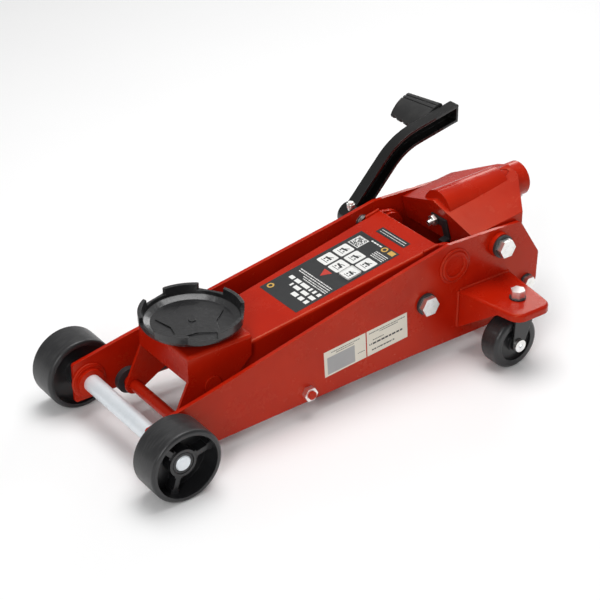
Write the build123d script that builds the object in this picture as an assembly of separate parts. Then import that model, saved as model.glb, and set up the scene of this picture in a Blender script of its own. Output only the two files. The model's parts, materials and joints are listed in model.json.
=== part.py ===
from build123d import *
import math
import os

# Hydraulic garage jack. Millimetres, +Z up, +X towards the handle end, +Y to the right
# of a person at the handle. While it is modelled, X is counted from the front axle;
# recentre() then moves everything so that the origin is under the middle of the jack.

# ---- driving sizes -------------------------------------------------------------------

# fits
RUN = 0.05  # radial play of a pin that turns in its hole
GAP = 0.3  # play between pieces that only pass each other
LOOSE = 0.6  # play of a pin in a driven slot or an open pivot

# side plates
PLATE_T = 5.7
PLATE_FRONT_X = -21.0
PLATE_REAR_X = 628.0
PLATE_BOTTOM_Z = 22.5
HALF_FRONT = 93.7  # outer half width at the front wheels
HALF_REAR = 83.2  # outer half width at the handle end
TAPER_START_X = 60.0
TAPER_END_X = 400.0

# front axle and wheels
WHEEL_R = 50.0
WHEEL_W = 47.0
WHEEL_OUT_Y = 150.0
AXLE_R = 11.8
JOURNAL_R = 10.5
AXLE_END_Y = 141.0
BOSS_R = 22.5
BOSS_T = 9.0

# lift arm and its parallelogram
PIVOT_X = 472.0
PIVOT_Z = 140.0
ANCHOR_X = 424.0
ANCHOR_Z = 98.0
ARM_REACH_X = 375.0  # from the arm's pivot to its front pin, along x
ARM_DROP_Z = 57.0  # and down
ARM_SWING = 52.0  # degrees from lowered to raised
ARM_T = 6.0
ARM_HALF_FRONT = 47.0
ARM_HALF_REAR = 64.5
ARM_LEAD = 47.0  # behind the front pin, where the arm's front sizes are taken
ARM_REAR_X = 458.0
ARM_FRONT_Z = 112.0
ARM_REAR_Z = 167.0
PIVOT_PIN_R = 15.0
FRONT_PIN_R = 8.0
LINK_T = 8.0
LINK_IN_Y = 66.5
ROD_R = 8.0
ANCHOR_R = 9.0

# saddle bracket and saddle
BOX_LEAD = 35.0  # from the front pin forward to the bracket's face
BOX_TAIL = 61.0  # and back to its rear edge
BOX_TOP_Z = 134.0
BOX_HALF = 58.0
BOX_T = 4.0
SADDLE_SET = 10.0  # the saddle's axis, behind the front pin
SADDLE_R = 68.6
SADDLE_H = 27.0
SADDLE_STUB_R = 13.0
SADDLE_LUGS = 5
STAR_OUT_R = 47.0
STAR_IN_R = 31.0
SADDLE_TURN = 34.0  # where the first gap between lugs lies

# ram and power unit
CRANK_R = 70.0  # from the arm's pivot to the drive pin
DRIVE_PIN_R = 8.0
RAM_Z = 75.0
RAM_R = 11.0
CYLINDER_R = 26.0
CYLINDER_WALL = 6.0
CYLINDER_X0 = 527.0
CYLINDER_X1 = 616.0
BLOCK_X0 = 560.0
BLOCK_X1 = 624.0
BLOCK_HALF = 46.0
BLOCK_Z0 = 42.0
BLOCK_Z1 = 106.0
UNIT_BOLT_X = 608.0
UNIT_BOLT_Z = 71.0
PUMP_Y = 36.0
PLUNGER_R = 6.0

# handle socket
SOCKET_X = 551.0
SOCKET_Z = 148.0
SOCKET_BOLT_R = 10.0
SOCKET_HALF = 75.5
SOCKET_WALL = 4.5
TUBE_ANGLE = 2.0  # degrees the tube rises to the rear when lowered
TUBE_OUT_R = 25.0
TUBE_BORE_R = 22.0
TUBE_END_X = 660.0
TUBE_END_Z = 184.0
SOCKET_SWING = 60.0

# casters
CASTER_R = 38.0
CASTER_W = 32.0
KINGPIN_X = 533.5
KINGPIN_Y = 145.0
KINGPIN_R = 8.0
CASTER_TRAIL = 12.0
BRACKET_Z = 98.0
BRACKET_OUT_Y = 185.0
CASTER_AXLE_R = 5.0

# foot pedal
PEDAL_X = 440.0
PEDAL_Z = 149.0
PEDAL_SHAFT_R = 8.0
PEDAL_HUB_R = 18.0
PEDAL_HUB_Y0 = 87.0
PEDAL_HUB_Y1 = 112.0
PEDAL_KNEE = (521.5, 237.5)
PEDAL_TIP = (623.0, 260.0)
PEDAL_BEND_R = 95.0
PEDAL_ARM_H = 25.0
PEDAL_ARM_D = 18.0
PEDAL_ARM_T = 3.5
PAD_OUT_Y = 177.0

# tie rod low in the plates
TIE_X = 224.0
TIE_Z = 37.0
TIE_R = 6.0

# ---- values that follow --------------------------------------------------------------

INNER_REAR = HALF_REAR - PLATE_T
INNER_FRONT = HALF_FRONT - PLATE_T
WHEEL_IN_Y = WHEEL_OUT_Y - WHEEL_W
FRONT_PIN_X = PIVOT_X - ARM_REACH_X
FRONT_PIN_Z = PIVOT_Z - ARM_DROP_Z
ARM_FRONT_X = FRONT_PIN_X + ARM_LEAD
BOX_FRONT_X = FRONT_PIN_X - BOX_LEAD
BOX_REAR_X = FRONT_PIN_X + BOX_TAIL
SADDLE_X = FRONT_PIN_X + SADDLE_SET
ROD_X = ANCHOR_X - ARM_REACH_X
ROD_Z = ANCHOR_Z - ARM_DROP_Z
HALF_SWING = math.radians(ARM_SWING / 2)
DRIVE_X = PIVOT_X + CRANK_R * math.sin(HALF_SWING)
DRIVE_Z = PIVOT_Z - CRANK_R * math.cos(HALF_SWING)
RAM_STROKE = 2 * CRANK_R * math.sin(HALF_SWING)
TUBE_SLOPE = math.tan(math.radians(TUBE_ANGLE))
TUBE_DIR = Vector(math.cos(math.radians(TUBE_ANGLE)), 0, math.sin(math.radians(TUBE_ANGLE)))
ROLLER_ARM = 24.0
ROLLER_R = 9.0
ROLLER_X = SOCKET_X + ROLLER_ARM * math.cos(math.radians(SOCKET_SWING / 2))
ROLLER_Z = SOCKET_Z - ROLLER_ARM * math.sin(math.radians(SOCKET_SWING / 2))
CASTER_X = KINGPIN_X - CASTER_TRAIL
FORK_TOP_Z = BRACKET_Z - 12.5
TAIL = TUBE_OUT_R * math.sin(math.radians(TUBE_ANGLE))
MIDDLE_X = (TUBE_END_X + TAIL - WHEEL_R) / 2


# ---- helpers -------------------------------------------------------------------------


def bar(x, z, radius, y0, y1):
    """A round bar along Y from y0 to y1."""
    return Pos(x, (y0 + y1) / 2, z) * Rot(90, 0, 0) * Cylinder(radius, y1 - y0)


def bar_x(y, z, radius, x0, x1):
    """A round bar along X from x0 to x1."""
    return Pos((x0 + x1) / 2, y, z) * Rot(0, 90, 0) * Cylinder(radius, x1 - x0)


def post(x, y, radius, z0, z1):
    """A round bar along Z from z0 to z1."""
    return Pos(x, y, (z0 + z1) / 2) * Cylinder(radius, z1 - z0)


def block(x0, x1, y0, y1, z0, z1):
    """A rectangular block between two corners."""
    return Pos((x0 + x1) / 2, (y0 + y1) / 2, (z0 + z1) / 2) * Box(x1 - x0, y1 - y0, z1 - z0)


def slab(outline, y0, y1):
    """A flat outline in X and Z, made solid from y0 to y1."""
    return extrude(Plane.XZ.offset(-y1) * outline, amount=y1 - y0, dir=(0, -1, 0))


def prism(outline, height):
    """A flat outline in X and Y, made solid from z = 0 up."""
    return extrude(outline, amount=height, dir=(0, 0, 1))


def hexagon_bar(x, z, across_flats, y0, y1):
    """A hexagonal bar along Y."""
    corner_r = across_flats / math.sqrt(3)
    return slab(Pos(x, z) * RegularPolygon(corner_r, 6), y0, y1)


def mirrored(shape):
    """The same shape on the other side of the jack's middle plane."""
    return mirror(shape, about=Plane.XZ)


def recentre(shape):
    """Move from the modelling origin at the front axle to the middle of the jack."""
    return Pos(-MIDDLE_X, 0, 0) * shape


def save(name, *shapes):
    """Write one node; several shapes stay separate solids of it."""
    solids = []
    for shape in shapes:
        solids.extend(recentre(shape).solids())
    node = solids[0] if len(solids) == 1 else Compound(solids)
    export_step(node, os.path.join("parts", name + ".step"))


def plan_strip(inset, thickness):
    """The bent plan of a right-hand side plate, inset from its outer face."""
    outer = [
        (PLATE_FRONT_X - 20, HALF_FRONT - inset),
        (TAPER_START_X, HALF_FRONT - inset),
        (TAPER_END_X, HALF_REAR - inset),
        (PLATE_REAR_X + 20, HALF_REAR - inset),
    ]
    inner = [(x, y - thickness) for x, y in reversed(outer)]
    return prism(Polygon(*outer, *inner, align=None), 260)


def half_width(x):
    """Outer half width between the plates' outer faces at x."""
    share = (x - TAPER_START_X) / (TAPER_END_X - TAPER_START_X)
    share = min(max(share, 0), 1)
    return HALF_FRONT + (HALF_REAR - HALF_FRONT) * share


# ---- frame ---------------------------------------------------------------------------


def side_plate():
    """The right-hand side plate with its pin and bolt holes."""
    outline = Polygon(
        (PLATE_FRONT_X, PLATE_BOTTOM_Z),
        (PLATE_FRONT_X, 79.5),
        (461, 174.5),
        (PLATE_REAR_X - 38, 170.5),
        (PLATE_REAR_X, 112),
        (PLATE_REAR_X - 1, 65),
        (538, PLATE_BOTTOM_Z),
        align=None,
    )
    front = outline.vertices().sort_by(Axis.X)[0:2]
    outline = chamfer(front, 2)
    outline = fillet(outline.vertices().sort_by(Axis.X)[-5:], 9)
    plate = slab(outline, HALF_REAR - 20, HALF_FRONT + 5) & plan_strip(0, PLATE_T)
    y0 = HALF_REAR - 30
    y1 = HALF_FRONT + 10
    plate -= bar(0, WHEEL_R, JOURNAL_R, y0, y1)
    plate -= bar(PIVOT_X, PIVOT_Z, PIVOT_PIN_R, y0, y1)
    plate -= bar(ANCHOR_X, ANCHOR_Z, ANCHOR_R, y0, y1)
    plate -= bar(SOCKET_X, SOCKET_Z, SOCKET_BOLT_R, y0, y1)
    plate -= bar(UNIT_BOLT_X, UNIT_BOLT_Z, 6, y0, y1)
    plate -= bar(TIE_X, TIE_Z, TIE_R, y0, y1)
    return plate


def pedal_hole():
    """The pedal shaft's hole, in the right-hand plate only."""
    return bar(PEDAL_X, PEDAL_Z, PEDAL_BEARING_R, HALF_REAR - 30, HALF_REAR + 30)


PEDAL_BEARING_R = PEDAL_SHAFT_R + 2.8


def front_axle():
    """The bright axle bar, stepped down where it passes the plates and carries the wheels."""
    middle = bar(0, WHEEL_R, AXLE_R, -INNER_FRONT + BOSS_T, INNER_FRONT - BOSS_T)
    journal = bar(0, WHEEL_R, JOURNAL_R, -AXLE_END_Y, AXLE_END_Y)
    axle = middle + journal
    ends = axle.edges().filter_by(GeomType.CIRCLE).sort_by(Axis.Y)
    return chamfer([ends[0], ends[-1]], 1.2)


def axle_boss():
    """The stepped ring welded inside the right-hand plate around the axle."""
    flange = bar(0, WHEEL_R, BOSS_R, INNER_FRONT - BOSS_T / 2, INNER_FRONT)
    neck = bar(0, WHEEL_R, BOSS_R - 4, INNER_FRONT - BOSS_T, INNER_FRONT)
    hole = bar(0, WHEEL_R, JOURNAL_R, INNER_FRONT - 2 * BOSS_T, INNER_FRONT + BOSS_T)
    return flange + neck - hole


def ring(x, z, inner_r, outer_r, y0, y1):
    """A plain ring along Y."""
    return bar(x, z, outer_r, y0, y1) - bar(x, z, inner_r, y0 - 1, y1 + 1)


def wheel_spacer():
    """The dark washer between plate and wheel."""
    return ring(0, WHEEL_R, JOURNAL_R, 17, HALF_FRONT, WHEEL_IN_Y - GAP)


def wheel_retainer():
    """The snap ring that keeps the wheel on its journal."""
    hub_end = WHEEL_OUT_Y - HUB_RECESS
    return ring(0, WHEEL_R, JOURNAL_R, 14, hub_end + GAP, hub_end + GAP + 1.5)


HUB_RECESS = 12.0
RIM_T = 7.0
WEB_RECESS = 27.0
WEB_T = 7.0
SPOKE_COUNT = 3
SPOKE_TURN = 12.0


def front_wheel():
    """A solid wheel: rounded tread, deep recess, and a hub held by three spokes."""
    hub_end = WHEEL_OUT_Y - HUB_RECESS
    web_y = WHEEL_OUT_Y - WEB_RECESS
    well_r = WHEEL_R - RIM_T
    wheel = bar(0, WHEEL_R, WHEEL_R, WHEEL_IN_Y, WHEEL_OUT_Y)
    wheel = fillet(wheel.edges().filter_by(GeomType.CIRCLE), 4)
    wheel -= bar(0, WHEEL_R, well_r, web_y, WHEEL_OUT_Y + 1)
    wheel -= bar(0, WHEEL_R, well_r, WHEEL_IN_Y - 1, web_y - WEB_T)
    wheel += bar(0, WHEEL_R, 19, WHEEL_IN_Y, hub_end + 2)
    wheel -= bar(0, WHEEL_R, 15, hub_end, WHEEL_OUT_Y + 1)
    for index in range(SPOKE_COUNT):
        middle_r = (well_r + 17) / 2
        spoke = Pos(middle_r, 0) * Rectangle(well_r - 17 + 1, 7)
        spoke += Pos(well_r - 3, 0) * Rectangle(6, 11)
        spoke += Pos(19, 0) * Rectangle(5, 12)
        turned = Pos(0, WHEEL_R) * Rot(0, 0, SPOKE_TURN + 360 / SPOKE_COUNT * index) * spoke
        wheel += slab(turned, web_y - 1, hub_end)
    wheel -= bar(0, WHEEL_R, 15, hub_end, WHEEL_OUT_Y + 1)
    return wheel - bar(0, WHEEL_R, JOURNAL_R + RUN, WHEEL_IN_Y - 1, WHEEL_OUT_Y + 1)


def pivot_stub():
    """A short pin, fixed in the plate, that carries one cheek of the lift arm."""
    return bar(PIVOT_X, PIVOT_Z, PIVOT_PIN_R, ARM_HALF_REAR - 14, HALF_REAR + 1.5)


def pivot_ring():
    """The rounded ring welded outside the plate around the stub."""
    top = HALF_REAR + 3.5
    body = ring(PIVOT_X, PIVOT_Z, PIVOT_PIN_R, PIVOT_PIN_R + 7, HALF_REAR, top)
    rims = body.edges().filter_by(lambda e: e.geom_type == GeomType.CIRCLE and e.center().Y > top - 0.1)
    inner, outer = rims.sort_by(lambda e: e.radius)
    body = fillet(outer, 2.5)
    inner = [e for e in body.edges().filter_by(GeomType.CIRCLE) if e.center().Y > top - 0.1]
    return chamfer(sorted(inner, key=lambda e: e.radius)[0], 1.2)


def anchor_bolt():
    """The bolt that holds a levelling link inside the plate, with a large hex head outside."""
    shank = bar(ANCHOR_X, ANCHOR_Z, ANCHOR_R, LINK_IN_Y - 1, HALF_REAR + 5)
    return shank + hexagon_bar(ANCHOR_X, ANCHOR_Z, 25, HALF_REAR + 4, HALF_REAR + 12)


def anchor_washer():
    return ring(ANCHOR_X, ANCHOR_Z, ANCHOR_R, 15.5, HALF_REAR, HALF_REAR + 4)


def socket_bolt():
    """The pivot bolt of the handle socket; its plain shank reaches through the yoke's leg."""
    shank = bar(SOCKET_X, SOCKET_Z, SOCKET_BOLT_R, SOCKET_HALF - 14, HALF_REAR + 14)
    head = hexagon_bar(SOCKET_X, SOCKET_Z, 24, HALF_REAR + 11, HALF_REAR + 20)
    return shank + head


def socket_boss():
    """The red ring welded outside the plate behind the pivot bolt's head."""
    return ring(SOCKET_X, SOCKET_Z, SOCKET_BOLT_R, 18, HALF_REAR, HALF_REAR + 7)


def socket_washer():
    return ring(SOCKET_X, SOCKET_Z, SOCKET_BOLT_R, 16.5, HALF_REAR + 7, HALF_REAR + 11)


def unit_bolt():
    """A bolt that holds the power unit between the plates."""
    shank = bar(UNIT_BOLT_X, UNIT_BOLT_Z, 6, HALF_REAR - 24, HALF_REAR + 3)
    return shank + hexagon_bar(UNIT_BOLT_X, UNIT_BOLT_Z, 17, HALF_REAR + 2, HALF_REAR + 10)


def unit_washer():
    return ring(UNIT_BOLT_X, UNIT_BOLT_Z, 6, 11, HALF_REAR, HALF_REAR + 2)


def tie_rod():
    """The rod low between the plates, with its threaded ends outside."""
    end = half_width(TIE_X) + 11
    return bar(TIE_X, TIE_Z, TIE_R, -end, end)


def tie_nut():
    start = half_width(TIE_X) + GAP
    nut = hexagon_bar(TIE_X, TIE_Z, 18, start, start + 8)
    return nut - bar(TIE_X, TIE_Z, TIE_R, start - 1, start + 9)


def rear_cross_plate():
    """The plate welded across the frame under the power unit."""
    return block(530, 600, -INNER_REAR, INNER_REAR, 28, 33)


def front_cross_plate():
    """The channel welded across the frame in front of the tie rod."""
    outer = block(250, 300, -half_width(300) + PLATE_T, half_width(300) - PLATE_T, 24, 40)
    return outer - block(253, 297, -HALF_FRONT, HALF_FRONT, 20, 37)


# ---- lift arm, saddle bracket and saddle ---------------------------------------------

ARM_SLOPE = (ARM_REAR_Z - ARM_FRONT_Z) / (ARM_REAR_X - ARM_FRONT_X)
ARM_SPREAD = (ARM_HALF_REAR - ARM_HALF_FRONT) / (ARM_REAR_X - ARM_FRONT_X)
ARM_NOSE_R = 20.4
ARM_HEEL_R = 24.0
EAR_IN_Y = 14.0
EAR_OUT_Y = 22.0
ARM_BEND_R = 4.0


def arm_top(x):
    return ARM_FRONT_Z + ARM_SLOPE * (x - ARM_FRONT_X)


def arm_plan(inset):
    """The arm's tapered plan, inset from the outer faces of its cheeks."""
    x0 = FRONT_PIN_X - 40
    x1 = PIVOT_X + 40
    y0 = ARM_HALF_FRONT + ARM_SPREAD * (x0 - ARM_FRONT_X) - inset
    y1 = ARM_HALF_REAR - inset
    corners = [(x0, y0), (ARM_REAR_X, y1), (x1, y1), (x1, -y1), (ARM_REAR_X, -y1), (x0, -y0)]
    return prism(Polygon(*corners, align=None), 260)


def arm_outline(drop):
    """Side view of the arm, with its top lowered by drop."""
    nose_x = FRONT_PIN_X
    body = Polygon(
        (nose_x, arm_top(nose_x) - drop),
        (ARM_REAR_X, ARM_REAR_Z - drop),
        (PIVOT_X, PIVOT_Z + ARM_HEEL_R - drop),
        (PIVOT_X, PIVOT_Z - ARM_HEEL_R - drop),
        (300, 88 - drop),
        (nose_x, FRONT_PIN_Z - ARM_NOSE_R - drop),
        align=None,
    )
    nose = Pos(FRONT_PIN_X, FRONT_PIN_Z) * Circle(ARM_NOSE_R - drop)
    heel = Pos(PIVOT_X, PIVOT_Z) * Circle(ARM_HEEL_R)
    return body + nose + heel


def arm_back_cut():
    """The open rear of the arm, between its two heels."""
    half = ARM_HALF_REAR - ARM_T
    return block(ARM_REAR_X + 1, PIVOT_X + 60, -half + 0.5, half - 0.5, 60, 200)


def arm_bends(arm):
    """The two long edges where the top plate turns down into the cheeks."""
    long_edges = [e for e in arm.edges().filter_by(GeomType.LINE) if e.length > 200]
    return ShapeList(long_edges).sort_by(Axis.Z)[-2:]


def lift_arm():
    """A tapered channel, open below, with round noses for its pins and two drive ears."""
    reach = ARM_HALF_REAR + 20
    arm = slab(arm_outline(0), -reach, reach) & arm_plan(0)
    arm = fillet(arm_bends(arm), ARM_BEND_R)
    front_x = FRONT_PIN_X + 14
    inside = slab(arm_outline(ARM_T), -reach, reach)
    inside += block(FRONT_PIN_X - 40, front_x, -reach, reach, 40, arm_top(front_x) + 10)
    inside &= arm_plan(ARM_T)
    channel = arm - inside - arm_back_cut()
    for side in (1, -1):
        y0, y1 = sorted((side * EAR_IN_Y, side * EAR_OUT_Y))
        channel += slab(ear_outline(), y0, y1)
        y0, y1 = sorted((side * (ARM_HALF_REAR - ARM_T - 5), side * (ARM_HALF_REAR - 1)))
        channel += bar(PIVOT_X, PIVOT_Z, 22, y0, y1)
    channel -= bar(PIVOT_X, PIVOT_Z, PIVOT_PIN_R + RUN, -reach, reach)
    channel -= bar(FRONT_PIN_X, FRONT_PIN_Z, FRONT_PIN_R, -reach, reach)
    channel -= bar(DRIVE_X, DRIVE_Z, DRIVE_PIN_R, -reach, reach)
    return channel


def ear_outline():
    """One drive ear: from under the top plate down and back to the drive pin."""
    leg = Polygon(
        (400, arm_top(400) - ARM_T + 1),
        (448, arm_top(448) - ARM_T + 1),
        (DRIVE_X + 8.5, DRIVE_Z + 8.5),
        (DRIVE_X - 9, DRIVE_Z - 8),
        align=None,
    )
    return leg + Pos(DRIVE_X, DRIVE_Z) * Circle(12)


def drive_pin():
    """The pin through both ears that the ram pushes."""
    return bar(DRIVE_X, DRIVE_Z, DRIVE_PIN_R, -EAR_OUT_Y - 2, EAR_OUT_Y + 2)


def front_pin():
    """The pin that carries the saddle bracket, headed outside its cheeks."""
    pin = bar(FRONT_PIN_X, FRONT_PIN_Z, FRONT_PIN_R, -BOX_HALF - 2, BOX_HALF + 2)
    for side in (1, -1):
        y0, y1 = sorted((side * (BOX_HALF + GAP), side * (BOX_HALF + GAP + 2.5)))
        pin += bar(FRONT_PIN_X, FRONT_PIN_Z, 12, y0, y1)
    return pin


def pin_spacer():
    """A tube on the front pin between arm and bracket cheeks."""
    arm_side = ARM_HALF_FRONT + ARM_SPREAD * (FRONT_PIN_X + 13 - ARM_FRONT_X)
    return ring(FRONT_PIN_X, FRONT_PIN_Z, FRONT_PIN_R + RUN, 12, arm_side + GAP, BOX_HALF - BOX_T - GAP)


BOX_CHEEK_Z = 96.0
BOX_BEND_R = 5.0
LOBE_R = 13.0


def saddle_bracket():
    """The open-fronted box under the saddle, with two lobed cheeks."""
    cheek = Polygon(
        (BOX_FRONT_X, BOX_TOP_Z),
        (BOX_REAR_X, BOX_TOP_Z),
        (BOX_REAR_X, 104),
        (FRONT_PIN_X + 19, FRONT_PIN_Z - 19),
        (ROD_X + 8, ROD_Z - 10.5),
        (ROD_X - 12, ROD_Z + 5),
        (BOX_FRONT_X, BOX_CHEEK_Z + 2),
        align=None,
    )
    cheek += Pos(ROD_X, ROD_Z) * Circle(LOBE_R)
    box = block(BOX_FRONT_X, BOX_REAR_X, -BOX_HALF, BOX_HALF, BOX_TOP_Z - BOX_T, BOX_TOP_Z)
    box += block(BOX_FRONT_X, BOX_FRONT_X + BOX_T, -BOX_HALF, BOX_HALF, BOX_CHEEK_Z, BOX_TOP_Z)
    for side in (1, -1):
        y0, y1 = sorted((side * (BOX_HALF - BOX_T), side * BOX_HALF))
        box += slab(cheek, y0, y1)
    top_edges = box.edges().filter_by(GeomType.LINE).group_by(Axis.Z)[-1]
    bends = [e for e in top_edges if e.center().X < BOX_REAR_X - 1 and e.length > 50]
    box = fillet(bends, BOX_BEND_R)
    box -= bar(FRONT_PIN_X, FRONT_PIN_Z, FRONT_PIN_R + RUN, -BOX_HALF - 5, BOX_HALF + 5)
    box -= bar(ROD_X, ROD_Z, ROD_R, -BOX_HALF - 5, BOX_HALF + 5)
    box -= post(SADDLE_X, 0, SADDLE_STUB_R + RUN, BOX_TOP_Z - 20, BOX_TOP_Z + 5)
    return box


def bracket_rod():
    """The rod through both lobes that the levelling links hold."""
    end = LINK_IN_Y + LINK_T + 4
    return bar(ROD_X, ROD_Z, ROD_R, -end, end)


def levelling_link():
    """A flat link with an eye at each end, parallel to the lift arm's pin line."""
    length = math.hypot(ARM_REACH_X, ARM_DROP_Z)
    angle = math.degrees(math.atan2(ARM_DROP_Z, ARM_REACH_X))
    strap = Pos(ROD_X, ROD_Z) * Rot(0, 0, angle) * Pos(length / 2, 0) * Rectangle(length, 20)
    eyes = Pos(ROD_X, ROD_Z) * Circle(18) + Pos(ANCHOR_X, ANCHOR_Z) * Circle(17)
    holes = Pos(ROD_X, ROD_Z) * Circle(ROD_R + LOOSE) + Pos(ANCHOR_X, ANCHOR_Z) * Circle(ANCHOR_R + RUN)
    return slab(strap + eyes - holes, LINK_IN_Y, LINK_IN_Y + LINK_T)


def star_corners():
    """Radius and angle of each corner of the raised plate in the saddle's floor."""
    half_pitch = 180 / SADDLE_LUGS
    corners = []
    for index in range(SADDLE_LUGS * 2):
        radius = STAR_OUT_R if index % 2 else STAR_IN_R
        corners.append((radius, SADDLE_TURN + half_pitch * index))
    return corners


def saddle():
    """A cast dish with raised lugs around its rim, ribs in its floor and a stub below."""
    base_z = BOX_TOP_Z + GAP
    top_z = BOX_TOP_Z + SADDLE_H
    profile = Polygon(
        (0, base_z),
        (44, base_z),
        (49, base_z + 6),
        (SADDLE_R - 10, base_z + 8),
        (SADDLE_R - 3, top_z - 15),
        (SADDLE_R, top_z - 10),
        (SADDLE_R, top_z),
        (SADDLE_R - 5, top_z),
        (SADDLE_R - 7, top_z - 13),
        (SADDLE_R - 15, base_z + 10),
        (0, base_z + 8),
        align=None,
    )
    dish = revolve(Plane.XZ * profile, axis=Axis.Z)
    pitch = 360 / SADDLE_LUGS
    for index in range(SADDLE_LUGS):
        notch = Pos(SADDLE_R, 0, top_z) * Box(30, 36, 16)
        edge = Pos(SADDLE_R + 5, 0, top_z) * Box(16, 40, 44)
        dish -= Rot(0, 0, SADDLE_TURN + pitch * index) * (notch + edge)
    star = [
        (star_r * math.cos(math.radians(angle)), star_r * math.sin(math.radians(angle)))
        for star_r, angle in star_corners()
    ]
    dish += prism(Polygon(*star, align=None), base_z + 11) - prism(Circle(200), base_z + 7)
    dish += post(0, 0, 5, base_z + 7, base_z + 12.5)
    dish = Pos(SADDLE_X, 0, 0) * dish
    return dish + post(SADDLE_X, 0, SADDLE_STUB_R, BOX_TOP_Z - 11, base_z + 2)


def saddle_ring():
    """The snap ring under the bracket's top plate that keeps the saddle in."""
    z1 = BOX_TOP_Z - BOX_T - GAP
    outer = post(SADDLE_X, 0, SADDLE_STUB_R + 5, z1 - 2.5, z1)
    return outer - post(SADDLE_X, 0, SADDLE_STUB_R, z1 - 5, z1 + 2)


# ---- hydraulic unit ------------------------------------------------------------------

HEAD_X0 = DRIVE_X - 14.0
HEAD_X1 = DRIVE_X + 13.0
HEAD_HALF = EAR_IN_Y - GAP


def ram_head():
    """The crosshead on the ram: a block with an upright slot for the drive pin."""
    head = block(HEAD_X0, HEAD_X1, -HEAD_HALF, HEAD_HALF, RAM_Z - 18, RAM_Z + 16)
    drop = CRANK_R - CRANK_R * math.cos(HALF_SWING)
    wide = DRIVE_PIN_R + LOOSE
    slot_low = DRIVE_Z - drop - wide - 0.5
    slot = block(DRIVE_X - wide, DRIVE_X + wide, -40, 40, slot_low, DRIVE_Z + wide)
    return head - slot


def ram():
    """The ram, from the crosshead into the cylinder, ending in its piston."""
    rod = bar_x(0, RAM_Z, RAM_R, HEAD_X1, CYLINDER_X1 - 8)
    bore_r = CYLINDER_R - CYLINDER_WALL
    return rod + bar_x(0, RAM_Z, bore_r - RUN, CYLINDER_X1 - 14, CYLINDER_X1 - 4)


def cylinder():
    """The cylinder tube, closed at the rear."""
    tube = bar_x(0, RAM_Z, CYLINDER_R, CYLINDER_X0, CYLINDER_X1)
    return tube - bar_x(0, RAM_Z, CYLINDER_R - CYLINDER_WALL, CYLINDER_X0 + 8, CYLINDER_X1 - 3) - bar_x(
        0, RAM_Z, RAM_R + RUN, CYLINDER_X0 - 5, CYLINDER_X0 + 10
    )


def power_unit():
    """The casting that holds cylinder, pump and valve, bolted between the plates."""
    unit = block(BLOCK_X0, BLOCK_X1, -BLOCK_HALF, BLOCK_HALF, BLOCK_Z0, BLOCK_Z1)
    unit = fillet(unit.edges().filter_by(Axis.X), 8)
    unit += block(
        UNIT_BOLT_X - 16, UNIT_BOLT_X + 14, -INNER_REAR, INNER_REAR, UNIT_BOLT_Z - 15, UNIT_BOLT_Z + 15
    )
    unit += post(ROLLER_X, PUMP_Y, 14, BLOCK_Z1 - 10, BLOCK_Z1 + 2)
    unit -= bar_x(0, RAM_Z, CYLINDER_R, BLOCK_X0 - 5, CYLINDER_X1)
    unit -= post(ROLLER_X, PUMP_Y, PLUNGER_R + RUN, BLOCK_Z0 + 10, BLOCK_Z1 + 20)
    unit -= bar(UNIT_BOLT_X, UNIT_BOLT_Z, 6, -HALF_REAR, -HALF_REAR + 30)
    unit -= bar(UNIT_BOLT_X, UNIT_BOLT_Z, 6, HALF_REAR - 30, HALF_REAR)
    unit -= bar_x(-VALVE_Y, VALVE_Z, VALVE_R + RUN, BLOCK_X0 - 5, BLOCK_X0 + 32)
    return unit


VALVE_Y = 36.0
VALVE_Z = 92.0
VALVE_R = 6.0


def release_valve():
    """The release valve's spindle in the front of the unit, with a forked end."""
    spindle = bar_x(-VALVE_Y, VALVE_Z, VALVE_R, BLOCK_X0 - 6, BLOCK_X0 + 30)
    eye = bar_x(-VALVE_Y, VALVE_Z, 8.5, BLOCK_X0 - 16, BLOCK_X0 - 4)
    return spindle + eye - block(BLOCK_X0 - 18, BLOCK_X0 - 7, -VALVE_Y - 3, -VALVE_Y + 3, 70, 120)


def filler_plug():
    """The oil filler plug in the top of the unit."""
    return post(BLOCK_X0 + 46, -22, 7, BLOCK_Z1, BLOCK_Z1 + 4)


PLUNGER_TOP = ROLLER_Z - ROLLER_R - LOOSE
PLUNGER_HEAD_T = 4.0


def pump_plunger():
    """The pump plunger and its head, under the socket's roller."""
    rod = post(ROLLER_X, PUMP_Y, PLUNGER_R, BLOCK_Z1 - 38, PLUNGER_TOP)
    return rod + post(ROLLER_X, PUMP_Y, 12, PLUNGER_TOP - PLUNGER_HEAD_T, PLUNGER_TOP)


def pump_spring():
    """The coil that pushes the plunger up, from the unit to the plunger's head."""
    wire_r = 0.9
    z0 = BLOCK_Z1 + 2 + wire_r + 0.1
    height = PLUNGER_TOP - PLUNGER_HEAD_T - wire_r - 0.1 - z0
    path = Helix(pitch=height / 4, height=height, radius=9)
    start = Plane(origin=path @ 0, z_dir=path % 0)
    coil = sweep(start * Circle(wire_r), path=path)
    return Pos(ROLLER_X, PUMP_Y, z0) * coil


# ---- handle socket -------------------------------------------------------------------

YOKE_FRONT_X = 509.0
YOKE_LEAN = 0.29
YOKE_EDGE_Z = 168.6
YOKE_REAR_X = 600.0
YOKE_RISE = 0.115  # how the panels climb to the rear, per millimetre
YOKE_PITCH = 0.357  # and towards the middle
YOKE_BACK_X = 640.0
YOKE_BACK_Y = 20.0


def tube_axis_z(x):
    return TUBE_END_Z + TUBE_SLOPE * (x - TUBE_END_X)


def tube_bar(radius, x0, x1):
    """A round bar on the socket tube's axis."""
    start = Vector(x0, 0, tube_axis_z(x0))
    length = (x1 - x0) / math.cos(math.radians(TUBE_ANGLE))
    return extrude(Plane(origin=start, z_dir=TUBE_DIR) * Circle(radius), amount=length, dir=TUBE_DIR)


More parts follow.
